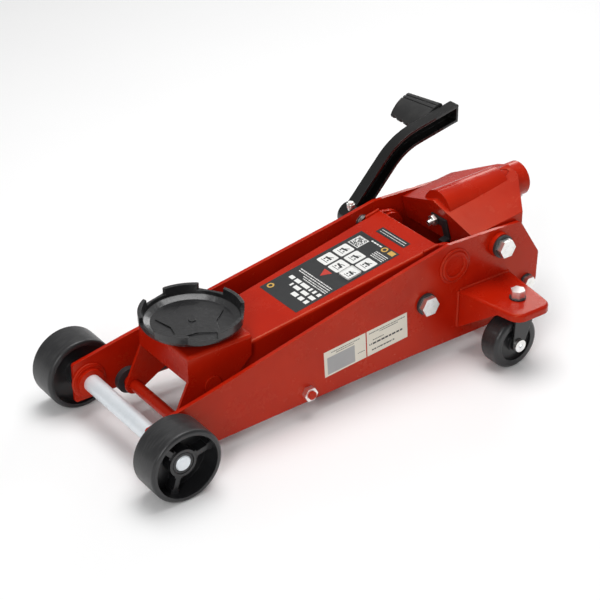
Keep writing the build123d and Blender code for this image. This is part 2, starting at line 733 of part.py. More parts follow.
def tent(inset):
    """The yoke's outer form, all faces moved in by inset: two pitched panels that close in
    behind, a front that leans forward, and upright sides."""
    half = SOCKET_HALF - inset
    form = block(430, 680, -half, half, 100, 260)
    form = split(form, Plane((YOKE_FRONT_X + inset, 0, 170), z_dir=(-1, 0, -YOKE_LEAN)), keep=Keep.BOTTOM)
    for side in (1, -1):
        edge = Vector(YOKE_FRONT_X, side * SOCKET_HALF, YOKE_EDGE_Z - inset)
        panel = Plane(edge, z_dir=(-YOKE_RISE, side * YOKE_PITCH, 1))
        form = split(form, panel, keep=Keep.BOTTOM)
        across = SOCKET_HALF - YOKE_BACK_Y
        along = YOKE_BACK_X - YOKE_REAR_X
        corner = Vector(YOKE_REAR_X - inset, side * SOCKET_HALF, 170)
        back = Plane(corner, z_dir=(across, side * along, 0))
        form = split(form, back, keep=Keep.BOTTOM)
    return form


def yoke_leg_area():
    """Side view of what the yoke keeps: the tent above, round the pivot and cross shaft."""
    skirt = Polygon(
        (YOKE_FRONT_X - 20, 145),
        (SOCKET_X - 16, 128),
        (ROLLER_X + 12, ROLLER_Z - 10),
        (YOKE_BACK_X + 10, 160),
        (YOKE_BACK_X + 10, 260),
        (YOKE_FRONT_X - 60, 260),
        (YOKE_FRONT_X - 60, 145),
        align=None,
    )
    return skirt + Pos(SOCKET_X, SOCKET_Z) * Circle(20) + Pos(ROLLER_X, ROLLER_Z) * Circle(12)


DOME_FRONT_X = 511.0
TUBE_FRONT_X = DOME_FRONT_X + 9.0


def socket_yoke():
    """The folded yoke: panels, front plate and legs, with the tube's hump along its middle."""
    shell = tent(0) - tent(SOCKET_WALL) - block(400, 700, -200, 200, 60, 110)
    outer = shell & slab(yoke_leg_area(), -SOCKET_HALF - 5, SOCKET_HALF + 5)
    inside = tent(SOCKET_WALL) & slab(yoke_leg_area(), -SOCKET_HALF - 5, SOCKET_HALF + 5)
    hump = tube_bar(TUBE_OUT_R + 3, DOME_FRONT_X, YOKE_BACK_X - 20)
    hump = split(hump, Plane((DOME_FRONT_X, 0, tube_axis_z(DOME_FRONT_X)), z_dir=(0, 0, 1)))
    front_wall = tube_bar(TUBE_OUT_R + 1, DOME_FRONT_X, DOME_FRONT_X + SOCKET_WALL)
    yoke = outer + (hump - inside) + front_wall
    yoke -= tube_bar(TUBE_OUT_R, TUBE_FRONT_X, TUBE_END_X + 10)
    yoke -= bar(SOCKET_X, SOCKET_Z, SOCKET_BOLT_R + RUN, -90, 90)
    yoke -= bar(ROLLER_X, ROLLER_Z, 7, -90, 90)
    yoke -= on_front_plate(block(-30, 0, -30, 30, -30, 12) + bar_x(0, 0, 4, -5, 1))
    yoke -= block(YOKE_BACK_X - 1, TUBE_END_X + 20, -90, 90, 100, 260)
    solids = yoke.solids().sort_by(SortBy.VOLUME)
    return solids[-1]


def socket_tube():
    """The tube that takes the pump handle."""
    tube = tube_bar(TUBE_OUT_R, TUBE_FRONT_X, TUBE_END_X)
    return tube - tube_bar(TUBE_BORE_R, TUBE_FRONT_X - 5, TUBE_END_X + 5)


def cross_shaft():
    """The shaft across the yoke that carries the pump roller."""
    return bar(ROLLER_X, ROLLER_Z, 7, -SOCKET_HALF, SOCKET_HALF)


def pump_roller():
    """The roller over the pump plunger."""
    return ring(ROLLER_X, ROLLER_Z, 7, ROLLER_R, PUMP_Y - 11, PUMP_Y + 11)


STUD_Z = 166.0


def on_front_plate(shape):
    """Move a shape made at the origin, facing -X, onto the yoke's leaning front plate."""
    face_x = YOKE_FRONT_X + YOKE_LEAN * (170 - STUD_Z)
    lean = math.degrees(math.atan(YOKE_LEAN))
    return Pos(face_x, 0, STUD_Z) * Rot(0, -lean, 0) * shape


def release_stud():
    """The bolt with a castle nut on the yoke's front plate that works the release linkage."""
    nut = Pos(-9, 0, 0) * Rot(0, 90, 0) * extrude(RegularPolygon(8.5, 6), amount=5, dir=(0, 0, 1))
    return on_front_plate(bar_x(0, 0, 4, -16, 1) + nut)


def release_fork():
    """The small bent bracket that hangs from the stud."""
    strap = block(-3 - GAP, -GAP, -24, 7, -7, 7)
    strap += block(-3 - GAP, -GAP, -24, -12, -24, 0)
    strap += block(-13, -GAP, -24, -12, -27, -24)
    return on_front_plate(strap - bar_x(0, 0, 4, -20, 10))


def handle_clamp():
    """The wire clip under the tube's end that locks the handle."""
    x = TUBE_END_X - 6
    y = -12
    z = tube_axis_z(x) - math.sqrt(TUBE_OUT_R**2 - y**2)
    foot = Pos(x, y, z - 1.2) * Rot(0, 90, 0) * Cylinder(1.5, 9)
    stem = Pos(x - 5, y, z - 11) * Rot(0, 14, 0) * Cylinder(1.3, 20)
    return foot + stem - tube_bar(TUBE_OUT_R, x - 30, x + 30)


# ---- casters -------------------------------------------------------------------------


def caster_bracket():
    """The shelf welded outside a plate, with a turned-down edge and two gussets."""
    x0 = KINGPIN_X - 51
    x1 = KINGPIN_X + 43
    plan = Polygon(
        (x0, HALF_REAR),
        (x1, HALF_REAR),
        (KINGPIN_X + 27, BRACKET_OUT_Y),
        (KINGPIN_X - 34, BRACKET_OUT_Y),
        align=None,
    )
    plan = fillet(plan.vertices().sort_by(Axis.Y)[-2:], 18)
    shelf = prism(plan, BRACKET_Z) - block(x0 - 5, x1 + 5, 0, 300, -5, BRACKET_Z - 11)
    shelf = fillet(shelf.edges().group_by(Axis.Z)[-1].filter_by(lambda e: e.center().Y > HALF_REAR + 1), 4)
    core = offset(plan, -5) + Pos(KINGPIN_X - 4, HALF_REAR + 5) * Rectangle(80, 10)
    shelf -= prism(core, BRACKET_Z - 6)
    web = Polygon(
        (HALF_REAR, BRACKET_Z - 5),
        (HALF_REAR, 42),
        (HALF_REAR + 4, 42),
        (152, BRACKET_Z - 10),
        (152, BRACKET_Z - 5),
        align=None,
    )
    slope = (KINGPIN_X - 34 - x0) / (BRACKET_OUT_Y - HALF_REAR)
    gusset = extrude(Plane.YZ.offset(x0) * web, amount=5, dir=(1, 0, 0))
    turn = math.degrees(math.atan(slope))
    gusset = Pos(x0, HALF_REAR, 0) * Rot(0, 0, -turn) * Pos(-x0, -HALF_REAR, 0) * gusset
    shelf += gusset - block(x0 - 30, x1, 0, HALF_REAR, 0, 200)
    shelf -= post(KINGPIN_X, KINGPIN_Y, KINGPIN_R, 0, 200)
    return shelf


def kingpin():
    """The bolt through bracket and fork that the caster turns on."""
    pin = post(KINGPIN_X, KINGPIN_Y, KINGPIN_R, FORK_TOP_Z - 8.5, BRACKET_Z + 3)
    head = Pos(KINGPIN_X, KINGPIN_Y, BRACKET_Z + 2) * extrude(RegularPolygon(10.2, 6), amount=11)
    return pin + head + post(KINGPIN_X, KINGPIN_Y, 12, FORK_TOP_Z - 8.5, FORK_TOP_Z - 5 - GAP)


def kingpin_washer():
    outer = post(KINGPIN_X, KINGPIN_Y, 11.4, BRACKET_Z, BRACKET_Z + 2)
    return outer - post(KINGPIN_X, KINGPIN_Y, KINGPIN_R, 90, 110)


def caster_bearing():
    """The thrust bearing between bracket and fork."""
    outer = post(KINGPIN_X, KINGPIN_Y, 21, FORK_TOP_Z + GAP, BRACKET_Z - 6)
    return outer - post(KINGPIN_X, KINGPIN_Y, KINGPIN_R, 60, 110)


FORK_IN = CASTER_W / 2 + 1.2
FORK_T = 4.0


def caster_fork():
    """The black fork: a top plate and two tapered legs to the axle."""
    fork = post(KINGPIN_X, KINGPIN_Y, 21, FORK_TOP_Z - 5, FORK_TOP_Z)
    leg = Polygon(
        (KINGPIN_X - 20, FORK_TOP_Z),
        (KINGPIN_X + 16, FORK_TOP_Z),
        (CASTER_X + 10, CASTER_R),
        (CASTER_X - 10, CASTER_R),
        align=None,
    )
    leg += Pos(CASTER_X, CASTER_R) * Circle(10)
    for side in (1, -1):
        inner = KINGPIN_Y + side * FORK_IN
        y0, y1 = sorted((inner, inner + side * FORK_T))
        fork += slab(leg, y0, y1)
        y0, y1 = sorted((KINGPIN_Y, inner + side * FORK_T))
        fork += block(KINGPIN_X - 20, KINGPIN_X + 16, y0, y1, FORK_TOP_Z - 5, FORK_TOP_Z)
    fork -= post(KINGPIN_X, KINGPIN_Y, KINGPIN_R + RUN, 60, 110)
    return fork - bar(CASTER_X, CASTER_R, CASTER_AXLE_R, KINGPIN_Y - 40, KINGPIN_Y + 40)


def caster_wheel():
    """The solid black caster wheel with a shallow recess in each face."""
    y0 = KINGPIN_Y - CASTER_W / 2
    y1 = KINGPIN_Y + CASTER_W / 2
    wheel = bar(CASTER_X, CASTER_R, CASTER_R, y0, y1)
    wheel = fillet(wheel.edges().filter_by(GeomType.CIRCLE), 6)
    for low, high in ((y0 - 1, y0 + 5), (y1 - 5, y1 + 1)):
        wheel -= ring(CASTER_X, CASTER_R, 12, 26, low, high)
    return wheel - bar(CASTER_X, CASTER_R, CASTER_AXLE_R + RUN, y0 - 1, y1 + 1)


def caster_axle():
    """The bright axle screw through both fork legs, with its nut."""
    out = FORK_IN + FORK_T
    axle = bar(CASTER_X, CASTER_R, CASTER_AXLE_R, KINGPIN_Y - out - 5, KINGPIN_Y + out + 1)
    head = bar(CASTER_X, CASTER_R, 9, KINGPIN_Y + out, KINGPIN_Y + out + 4)
    head -= hexagon_bar(CASTER_X, CASTER_R, 6, KINGPIN_Y + out + 1.5, KINGPIN_Y + out + 6)
    return axle + head + hexagon_bar(CASTER_X, CASTER_R, 14, KINGPIN_Y - out - 5, KINGPIN_Y - out)


# ---- foot pedal ----------------------------------------------------------------------


def pedal_profile(height):
    """Side view of the arm: a band of the given height around its bent centre line."""
    overshoot = (2 * PEDAL_TIP[0] - PEDAL_KNEE[0], 2 * PEDAL_TIP[1] - PEDAL_KNEE[1])
    line = FilletPolyline((PEDAL_X, PEDAL_Z), PEDAL_KNEE, overshoot, radius=PEDAL_BEND_R)
    band = make_face(offset(line, height / 2, kind=Kind.ARC, closed=True).edges())
    reach = PEDAL_TIP[0] - (PEDAL_ARM_H - height) / 2
    return band & Pos(reach - 150, PEDAL_TIP[1]) * Rectangle(300, 400)


def pedal_arm():
    """A pressed channel, open towards the jack, that bends up to the pad."""
    y1 = PEDAL_HUB_Y1 - 2
    y0 = y1 - PEDAL_ARM_D
    arm = slab(pedal_profile(PEDAL_ARM_H), y0, y1)
    arm -= slab(pedal_profile(PEDAL_ARM_H - 2 * PEDAL_ARM_T), y0 - 1, y1 - PEDAL_ARM_T)
    return arm - bar(PEDAL_X, PEDAL_Z, PEDAL_HUB_R, PEDAL_HUB_Y0 - 5, PEDAL_HUB_Y1 + 5)


def pedal_hub():
    """The hub clamped on the pedal shaft."""
    hub = bar(PEDAL_X, PEDAL_Z, PEDAL_HUB_R, PEDAL_HUB_Y0, PEDAL_HUB_Y1)
    hub = fillet(hub.edges().filter_by(GeomType.CIRCLE), 1.5)
    hub -= bar(PEDAL_X, PEDAL_Z, PEDAL_SHAFT_R, PEDAL_HUB_Y0 - 5, PEDAL_HUB_Y1 + 5)
    return hub - post(PEDAL_BOLT_X, PEDAL_BOLT_Y, 4, PEDAL_Z + PEDAL_SHAFT_R, 200)


PEDAL_BOLT_X = PEDAL_X - 7.5
PEDAL_BOLT_Y = PEDAL_HUB_Y0 + 7.0


def pedal_bolt():
    """The set screw and lock nut on top of the hub."""
    base = PEDAL_Z + PEDAL_HUB_R
    screw = post(PEDAL_BOLT_X, PEDAL_BOLT_Y, 4, PEDAL_Z + PEDAL_SHAFT_R + 1, base + 8)
    nut = Pos(PEDAL_BOLT_X, PEDAL_BOLT_Y, base) * prism(RegularPolygon(6.3, 6), 5)
    return screw + nut


def pedal_shaft():
    """The pedal's shaft through the right-hand plate, with a collar on its inner end."""
    inner = LINK_IN_Y + 0.5
    shaft = bar(PEDAL_X, PEDAL_Z, PEDAL_SHAFT_R, inner, PEDAL_HUB_Y1)
    return shaft + bar(PEDAL_X, PEDAL_Z, 13, inner, inner + 2.5)


def pedal_bearing():
    """The bush welded in the right-hand plate."""
    return ring(PEDAL_X, PEDAL_Z, PEDAL_SHAFT_R + RUN, PEDAL_BEARING_R, INNER_REAR - 1, PEDAL_HUB_Y0 - 0.5)


PAD_IN = ((571.0, 239.7), (606.0, 268.0))  # low and high end of its middle, at the arm
PAD_OUT = ((573.0, 241.3), (600.0, 263.0))  # and at its outer end
PAD_RISE = 4.0
PAD_T = 9.0
PLATE_SET = 3.0  # how far the foot plate stops short of the pad's ends


def pad_point(y, share, lift=0.0):
    """A point of the arched middle line at y, with lift along the pad's normal."""
    out = (y - PEDAL_HUB_Y1) / (PAD_OUT_Y - PEDAL_HUB_Y1)
    ends = [Vector(*near) * (1 - out) + Vector(*far) * out for near, far in zip(PAD_IN, PAD_OUT)]
    along = (ends[1] - ends[0]).normalized()
    normal = Vector(-along.Y, along.X)
    arch = PAD_RISE * 4 * share * (1 - share)
    return ends[0] * (1 - share) + ends[1] * share + normal * (arch + lift)


def pad_section(y, thickness, margin=0.0):
    """The section of the pad at y, an arched strip with round ends."""
    points = [pad_point(y, share) for share in (margin, 0.5, 1 - margin)]
    strip = offset(ThreePointArc(*points), thickness / 2, kind=Kind.ARC, closed=True)
    return Plane.XZ.offset(-y) * make_face(strip.edges())


def pedal_pad():
    """The rubber pad, a sleeve over the foot plate, grooved above and scalloped below."""
    y0 = PEDAL_HUB_Y1 + 0.5
    pad = loft([pad_section(y0, PAD_T), pad_section(PAD_OUT_Y, PAD_T)])
    pad -= foot_plate()
    for share in (0.78, 0.94):
        ends = []
        for y in (y0 - 2, PAD_OUT_Y + 2):
            centre = pad_point(y, share, PAD_T / 2)
            ends.append(Plane.XZ.offset(-y) * Pos(centre.X, centre.Y) * Circle(1.1))
        pad -= loft(ends)
    for step in range(4):
        y = PAD_OUT_Y - 9 - 16 * step
        low = pad_point(y, 0)
        along = (pad_point(y, 1) - low).normalized()
        edge = low - along * (PAD_T / 2 + 1)
        across = Vector(-along.Y, 0, along.X)
        notch = Plane(origin=(edge.X, y, edge.Y), z_dir=across) * Cylinder(4.5, 30)
        pad -= notch
    return pad


def foot_plate():
    """The steel plate inside the pad, joined to the side of the arm."""
    margin = PLATE_SET / math.dist(*PAD_OUT)
    ends = [pad_section(y, 3.0, margin) for y in (PEDAL_HUB_Y1 - 2, PAD_OUT_Y - 4)]
    return loft(ends)


def pedal_spring():
    """The torsion coil around the shaft between its collar and the plate."""
    wire_r = 1.0
    radius = PEDAL_SHAFT_R + wire_r + 0.8
    path = Helix(pitch=2.3, height=4.6, radius=radius)
    start = Plane(origin=path @ 0, z_dir=path % 0)
    coil = sweep(start * Circle(wire_r), path=path)
    return Pos(PEDAL_X, INNER_REAR - 1.2 - wire_r, PEDAL_Z) * Rot(90, 0, 0) * coil


# ---- write the nodes -----------------------------------------------------------------


def build_frame():
    right = side_plate()
    left = mirrored(right)
    save("side_plate_right", right - pedal_hole())
    save("side_plate_left", left)
    save("front_axle", front_axle())
    groups = {
        "axle_bosses": [axle_boss()],
        "wheel_washers": [wheel_spacer(), wheel_retainer()],
        "pivot_stubs": [pivot_stub()],
        "plate_rings": [pivot_ring(), socket_boss()],
        "plate_washers": [anchor_washer(), socket_washer(), unit_washer(), kingpin_washer()],
        "link_anchor_bolts": [anchor_bolt()],
        "socket_pivot_bolts": [socket_bolt()],
        "unit_bolts": [unit_bolt()],
        "tie_rod_nuts": [tie_nut()],
        "kingpins": [kingpin()],
        "caster_bearings": [caster_bearing()],
    }
    for name, shapes in groups.items():
        save(name, *[mirrored(shape) for shape in shapes], *shapes)
    save("tie_rod", tie_rod())
    save("cross_members", front_cross_plate(), rear_cross_plate())
    save("pedal_bearing", pedal_bearing())
    save("pedal_spring", pedal_spring())


def build_sides():
    singles = {
        "front_wheel": front_wheel(),
        "caster_bracket": caster_bracket(),
        "caster_fork": caster_fork(),
        "caster_wheel": caster_wheel(),
        "caster_axle": caster_axle(),
        "levelling_link": levelling_link(),
    }
    for name, shape in singles.items():
        save(name + "_left", mirrored(shape))
        save(name + "_right", shape)


def build_arm():
    save("lift_arm", lift_arm())
    save("drive_pin", drive_pin())
    save("front_pin", front_pin())
    save("pin_spacers", mirrored(pin_spacer()), pin_spacer())
    save("saddle_bracket", saddle_bracket())
    save("bracket_rod", bracket_rod())
    save("saddle", saddle())
    save("saddle_ring", saddle_ring())


def build_hydraulics():
    save("power_unit", power_unit())
    save("ram_cylinder", cylinder())
    save("ram", ram())
    save("ram_head", ram_head())
    save("release_valve", release_valve())
    save("filler_plug", filler_plug())
    save("pump_plunger", pump_plunger())
    save("pump_spring", pump_spring())


def build_socket():
    save("socket_yoke", socket_yoke())
    save("socket_tube", socket_tube())
    save("cross_shaft", cross_shaft())
    save("pump_roller", pump_roller())
    save("release_stud", release_stud())
    save("release_fork", release_fork())
    save("handle_clamp", handle_clamp())


def build_pedal():
    save("pedal_arm", pedal_arm())
    save("pedal_hub", pedal_hub())
    save("pedal_bolt", pedal_bolt())
    save("pedal_shaft", pedal_shaft())
    save("foot_plate", foot_plate())
    save("pedal_pad", pedal_pad())


os.makedirs("parts", exist_ok=True)
build_frame()
build_sides()
build_arm()
build_hydraulics()
build_socket()
build_pedal()
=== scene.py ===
import json
import logging
import math
import random
from dataclasses import dataclass
from enum import Enum

import bpy
from mathutils import Matrix, Vector


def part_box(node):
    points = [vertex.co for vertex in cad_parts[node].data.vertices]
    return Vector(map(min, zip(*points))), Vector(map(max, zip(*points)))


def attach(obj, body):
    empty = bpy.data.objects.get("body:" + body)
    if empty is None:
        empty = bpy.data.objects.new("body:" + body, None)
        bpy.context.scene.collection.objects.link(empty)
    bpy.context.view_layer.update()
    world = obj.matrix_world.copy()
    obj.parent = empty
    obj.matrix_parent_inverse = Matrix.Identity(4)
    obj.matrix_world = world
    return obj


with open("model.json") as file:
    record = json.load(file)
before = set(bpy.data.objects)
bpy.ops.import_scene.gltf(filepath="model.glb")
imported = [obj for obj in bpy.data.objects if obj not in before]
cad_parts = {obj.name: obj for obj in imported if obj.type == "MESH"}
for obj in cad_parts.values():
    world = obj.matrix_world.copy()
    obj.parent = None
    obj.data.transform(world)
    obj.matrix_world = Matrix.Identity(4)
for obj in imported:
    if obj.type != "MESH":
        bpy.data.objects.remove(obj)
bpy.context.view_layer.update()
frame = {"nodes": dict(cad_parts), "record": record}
LOG = logging.getLogger("floor_jack")

MM = 0.001
TINY = 1e-6
# The frame's origin is under the middle of the jack. Lengths in this file count from the front
# axle, which stands this many millimetres along x.
AXLE_X = -305.436

ARM_BODY = "lift_arm"
FRAME_BODY = "frame"

ORIGIN = (0.0, 0.0, 0.0)
WHITE = (1.0, 1.0, 1.0)
ACROSS = Vector((0.0, 1.0, 0.0))
UPWARD = Vector((0.0, 0.0, 1.0))


def place(x: float, y: float, z: float) -> Vector:
    """A point in the row frame, in metres.

    Args:
        x: millimetres behind the front axle.
        y: millimetres to the pedal side of the middle.
        z: millimetres above the floor.

    Returns:
        The point as a vector in metres.
    """
    return Vector(((x + AXLE_X) * MM, y * MM, z * MM))


class Side(Enum):
    """A side of the jack, with the sign of its y."""

    LEFT = -1.0
    RIGHT = 1.0

    def place(self, x: float, y: float, z: float) -> Vector:
        """A point on this side of the jack.

        Args:
            x: millimetres behind the front axle.
            y: millimetres out from the middle.
            z: millimetres above the floor.

        Returns:
            The point as a vector in metres.
        """
        return place(x, self.value * y, z)


# ---- shader writing ---------------------------------------------------------------------


@dataclass(frozen=True)
class Grain:
    """A soft random pattern: bumps per metre, octaves, how strong the fine ones are, and levels."""

    scale: float
    detail: float = 2.0
    rough: float = 0.5
    levels: tuple = ()


@dataclass(frozen=True)
class Relief:
    """A bump: metres from its low to its high, and how much of it shows."""

    height: float
    strength: float


class Wire:
    """A value on a shader socket that can be used in Python arithmetic."""

    def __init__(self, graph: "Graph", socket: bpy.types.NodeSocket) -> None:
        """Wraps a socket of a graph's node."""
        self.graph = graph
        self.socket = socket

    def _math(self, operation: str, first: object, second: object) -> "Wire":
        """Adds a Math node and returns its result."""
        node = self.graph.node("ShaderNodeMath", {"operation": operation}, {0: first, 1: second})
        return Wire(self.graph, node.outputs[0])

    def __add__(self, other: object) -> "Wire":
        """self + other."""
        return self._math("ADD", self, other)

    def __radd__(self, other: object) -> "Wire":
        """other + self."""
        return self._math("ADD", other, self)

    def __sub__(self, other: object) -> "Wire":
        """self - other."""
        return self._math("SUBTRACT", self, other)

    def __rsub__(self, other: object) -> "Wire":
        """other - self."""
        return self._math("SUBTRACT", other, self)

    def __mul__(self, other: object) -> "Wire":
        """self * other."""
        return self._math("MULTIPLY", self, other)

    def __rmul__(self, other: object) -> "Wire":
        """other * self."""
        return self._math("MULTIPLY", other, self)

    def band(self, low: float, high: float) -> "Wire":
        """0 below low, 1 above high and even between them.

        Args:
            low: the value that gives 0.
            high: the value that gives 1.

        Returns:
            The stretched value, held within 0 and 1.
        """
        node = self.graph.node(
            "ShaderNodeMapRange",
            {"clamp": True},
            {"Value": self, "From Min": low, "From Max": high, "To Min": 0.0, "To Max": 1.0},
        )
        return Wire(self.graph, node.outputs["Result"])


class Graph:
    """The node tree of one finish."""

    bevel_samples = 4
    edge_levels = (0.01, 0.2)

    def __init__(self, name: str) -> None:
        """Starts a material with a Principled shader.

        Args:
            name: the material's name.
        """
        self.material = bpy.data.materials.new(name)
        self.material.use_nodes = True
        self.tree = self.material.node_tree
        self.tree.nodes.clear()
        self.shader = self.tree.nodes.new("ShaderNodeBsdfPrincipled")
        output = self.tree.nodes.new("ShaderNodeOutputMaterial")
        self.tree.links.new(self.shader.outputs[0], output.inputs["Surface"])
        self._point = None

    def node(self, kind: str, settings: dict, inputs: dict) -> bpy.types.Node:
        """Adds one node.

        Args:
            kind: the node's type name.
            settings: the node's own properties, set first.
            inputs: values or wires for its sockets, by name or number.

        Returns:
            The new node.
        """
        made = self.tree.nodes.new(kind)
        for key, value in settings.items():
            setattr(made, key, value)
        for key, value in inputs.items():
            self.feed(made.inputs[key], value)
        return made

    def feed(self, socket: bpy.types.NodeSocket, value: object) -> None:
        """Puts a number, a colour or a wire on a socket.

        Args:
            socket: the socket to set or link.
            value: what it gets.
        """
        if isinstance(value, Wire):
            self.tree.links.new(value.socket, socket)
        elif isinstance(value, tuple) and len(value) == 3 and socket.type == "RGBA":
            socket.default_value = (*value, 1.0)
        else:
            socket.default_value = value

    def point(self) -> Wire:
        """The surface point in the object's own coordinates."""
        if self._point is None:
            node = self.node("ShaderNodeTexCoord", {}, {})
            self._point = Wire(self, node.outputs["Object"])
        return self._point

    def stretched(self, scale: tuple, centre: tuple = ORIGIN) -> Wire:
        """The surface point moved so that a centre is at 0, and scaled along each axis.

        Args:
            scale: the factor along each axis.
            centre: the point that goes to 0.

        Returns:
            The moved and scaled point.
        """
        moved = tuple(-c * s for c, s in zip(centre, scale))
        inputs = {"Vector": self.point(), "Scale": scale, "Location": moved}
        return Wire(self, self.node("ShaderNodeMapping", {}, inputs).outputs[0])

    def noise(self, grain: Grain, at: Wire | None = None) -> Wire:
        """Soft noise about 0.5, or between 0 and 1 where the grain has levels.

        Args:
            grain: the pattern's measures.
            at: the point to read, or None for the object's own.

        Returns:
            The noise value.
        """
        inputs = {
            "Vector": at or self.point(),
            "Scale": grain.scale,
            "Detail": grain.detail,
            "Roughness": grain.rough,
        }
        value = Wire(self, self.node("ShaderNodeTexNoise", {}, inputs).outputs[0])
        return value.band(*grain.levels) if grain.levels else value

    def blend(self, share: object, first: tuple | Wire, second: tuple | Wire) -> Wire:
        """A colour between two.

        Args:
            share: 0 gives first and 1 gives second.
            first: a colour or a wire.
            second: a colour or a wire.

        Returns:
            The mixed colour.
        """
        node = self.node("ShaderNodeMix", {"data_type": "RGBA"}, {0: share, 6: first, 7: second})
        return Wire(self, node.outputs[2])

    def rounded(self, radius: float) -> Wire:
        """The normal as it would be with edges rounded to that radius in metres."""
        node = self.node("ShaderNodeBevel", {"samples": self.bevel_samples}, {"Radius": radius})
        return Wire(self, node.outputs[0])

    def edges(self, soft: Wire) -> Wire:
        """How near an outer or inner edge a point is, from 0 on the flat to 1.

        Args:
            soft: a normal made by rounded.

        Returns:
            The edge mask.
        """
        plain = Wire(self, self.node("ShaderNodeNewGeometry", {}, {}).outputs["Normal"])
        node = self.node("ShaderNodeVectorMath", {"operation": "DOT_PRODUCT"}, {0: soft, 1: plain})
        return (1.0 - Wire(self, node.outputs["Value"])).band(*self.edge_levels)

    def bump(self, height: Wire, relief: Relief, normal: Wire | None = None) -> Wire:
        """A normal that follows a height.

        Args:
            height: the height as a value from 0 to 1.
            relief: how deep it is and how much of it shows.
            normal: the normal to start from, or None for the surface's own.

        Returns:
            The bumped normal.
        """
        inputs = {"Height": height, "Distance": relief.height, "Strength": relief.strength}
        if normal is not None:
            inputs["Normal"] = normal
        return Wire(self, self.node("ShaderNodeBump", {}, inputs).outputs[0])

    def finish(self, **sockets: object) -> bpy.types.Material:
        """Feeds the shader's sockets and returns the material."""
        for name, value in sockets.items():
            self.feed(self.shader.inputs[name.replace("_", " ")], value)
        return self.material


# ---- finishes ---------------------------------------------------------------------------


class Finish(Enum):
    """The finishes of the jack, by the names of their materials."""

    RED_ENAMEL = "red_enamel"
    BLACK_ENAMEL = "black_enamel"
    BLACK_OXIDE = "black_oxide"
    ZINC_PLATE = "zinc_plate"
    BRIGHT_BAR = "bright_bar"
    TURNED_STEEL = "turned_steel"
    SPRING_STEEL = "spring_steel"
    CAST_IRON = "cast_iron"
    FRONT_WHEEL = "front_wheel_black"
    CASTER = "caster_black"
    PAD_RUBBER = "pad_rubber"
    LABEL_BLACK = "label_black"
    LABEL_WHITE = "label_white"
    LABEL_GREY = "label_grey"
    LABEL_CREAM = "label_cream"
    LABEL_RED = "label_red"
    LABEL_YELLOW = "label_yellow"
    STUDIO_FLOOR = "studio_floor"


@dataclass(frozen=True)
class Enamel:
    """Glossy paint over steel, with a faint orange peel and thin edges: worn chips, and on the
    black enamel a painted highlight.
    """

    finish: Finish
    deep: tuple
    light: tuple
    # Colour near edges: worn chips on the red enamel and black oxide, a painted highlight on the
    # black enamel.
    edge: tuple
    roughness: float = 0.2
    coat: float = 0.0
    coat_roughness: float = 0.05
    gloss: float = 0.3
    glow: tuple = (1.0, 0.74, 0.42)
    edge_radius: float = 0.0011
    cloud: Grain = Grain(14.0, 3.0, levels=(0.35, 0.65))
    # Where the edge colour shows, and how much of it: chips, and on the black enamel a painted
    # highlight along the bends.
    chips_and_edge_highlight: Grain = Grain(240.0, 4.0, 0.7, (0.5, 0.62))
    chip_and_highlight_share: float = 0.55
    smudge: Grain = Grain(30.0, 5.0, 0.65, (0.45, 0.75))
    smudge_rough: float = 0.12
    dust: Grain = Grain(900.0)
    dust_rough: float = 0.05
    wave: Grain = Grain(70.0, 1.0)
    wave_relief: Relief = Relief(0.00024, 0.5)
    peel: Grain = Grain(420.0, 2.0, 0.4)
    peel_relief: Relief = Relief(0.00006, 0.6)

    def make(self) -> bpy.types.Material:
        """Builds the material."""
        graph = Graph(self.finish.value)
        soft = graph.rounded(self.edge_radius)
        colour = graph.blend(graph.noise(self.cloud), self.deep, self.light)
        # Near edges the colour turns to edge: worn chips, and on the black enamel a painted
        # highlight along the bends.
        chips_and_edge_highlight = graph.edges(soft) * graph.noise(self.chips_and_edge_highlight)
        colour = graph.blend(chips_and_edge_highlight * self.chip_and_highlight_share, colour, self.edge)
        rough = self.roughness + graph.noise(self.smudge) * self.smudge_rough
        rough = rough + graph.noise(self.dust) * self.dust_rough
        normal = graph.bump(graph.noise(self.wave), self.wave_relief, soft)
        normal = graph.bump(graph.noise(self.peel), self.peel_relief, normal)
        return graph.finish(
            Base_Color=colour,
            Roughness=rough,
            Normal=normal,
            Coat_Weight=self.coat,
            Coat_Roughness=self.coat_roughness,
            Specular_IOR_Level=self.gloss,
            Specular_Tint=self.glow,
        )


@dataclass(frozen=True)
class Plating:
    """Bare or plated metal with fine turning lines and a cloudy sheen."""

    finish: Finish
    pale: tuple
    dark: tuple
    tint: tuple
    roughness: float = 0.28
    metal: float = 1.0
    edge_radius: float = 0.0005
    lines_scale: tuple = (40.0, 900.0, 40.0)
    lines: Grain = Grain(1.0, 3.0, 0.6)
    lines_rough: float = 0.12
    lines_relief: Relief = Relief(0.00004, 0.6)
    cloud: Grain = Grain(70.0, 4.0, 0.6, (0.3, 0.7))
    grime: Grain = Grain(160.0, 5.0, 0.7, (0.52, 0.75))
    grime_share: float = 0.45
    grime_rough: float = 0.18

    def make(self) -> bpy.types.Material:
        """Builds the material."""
        graph = Graph(self.finish.value)
        soft = graph.rounded(self.edge_radius)
        lines = graph.noise(self.lines, graph.stretched(self.lines_scale))
        colour = graph.blend(graph.noise(self.cloud), self.pale, self.tint)
        grime = graph.noise(self.grime)
        colour = graph.blend(grime * self.grime_share, colour, self.dark)
        rough = self.roughness + lines * self.lines_rough + grime * self.grime_rough
        normal = graph.bump(lines, self.lines_relief, soft)
        return graph.finish(
            Base_Color=colour, Metallic=self.metal, Roughness=rough, Normal=normal
        )


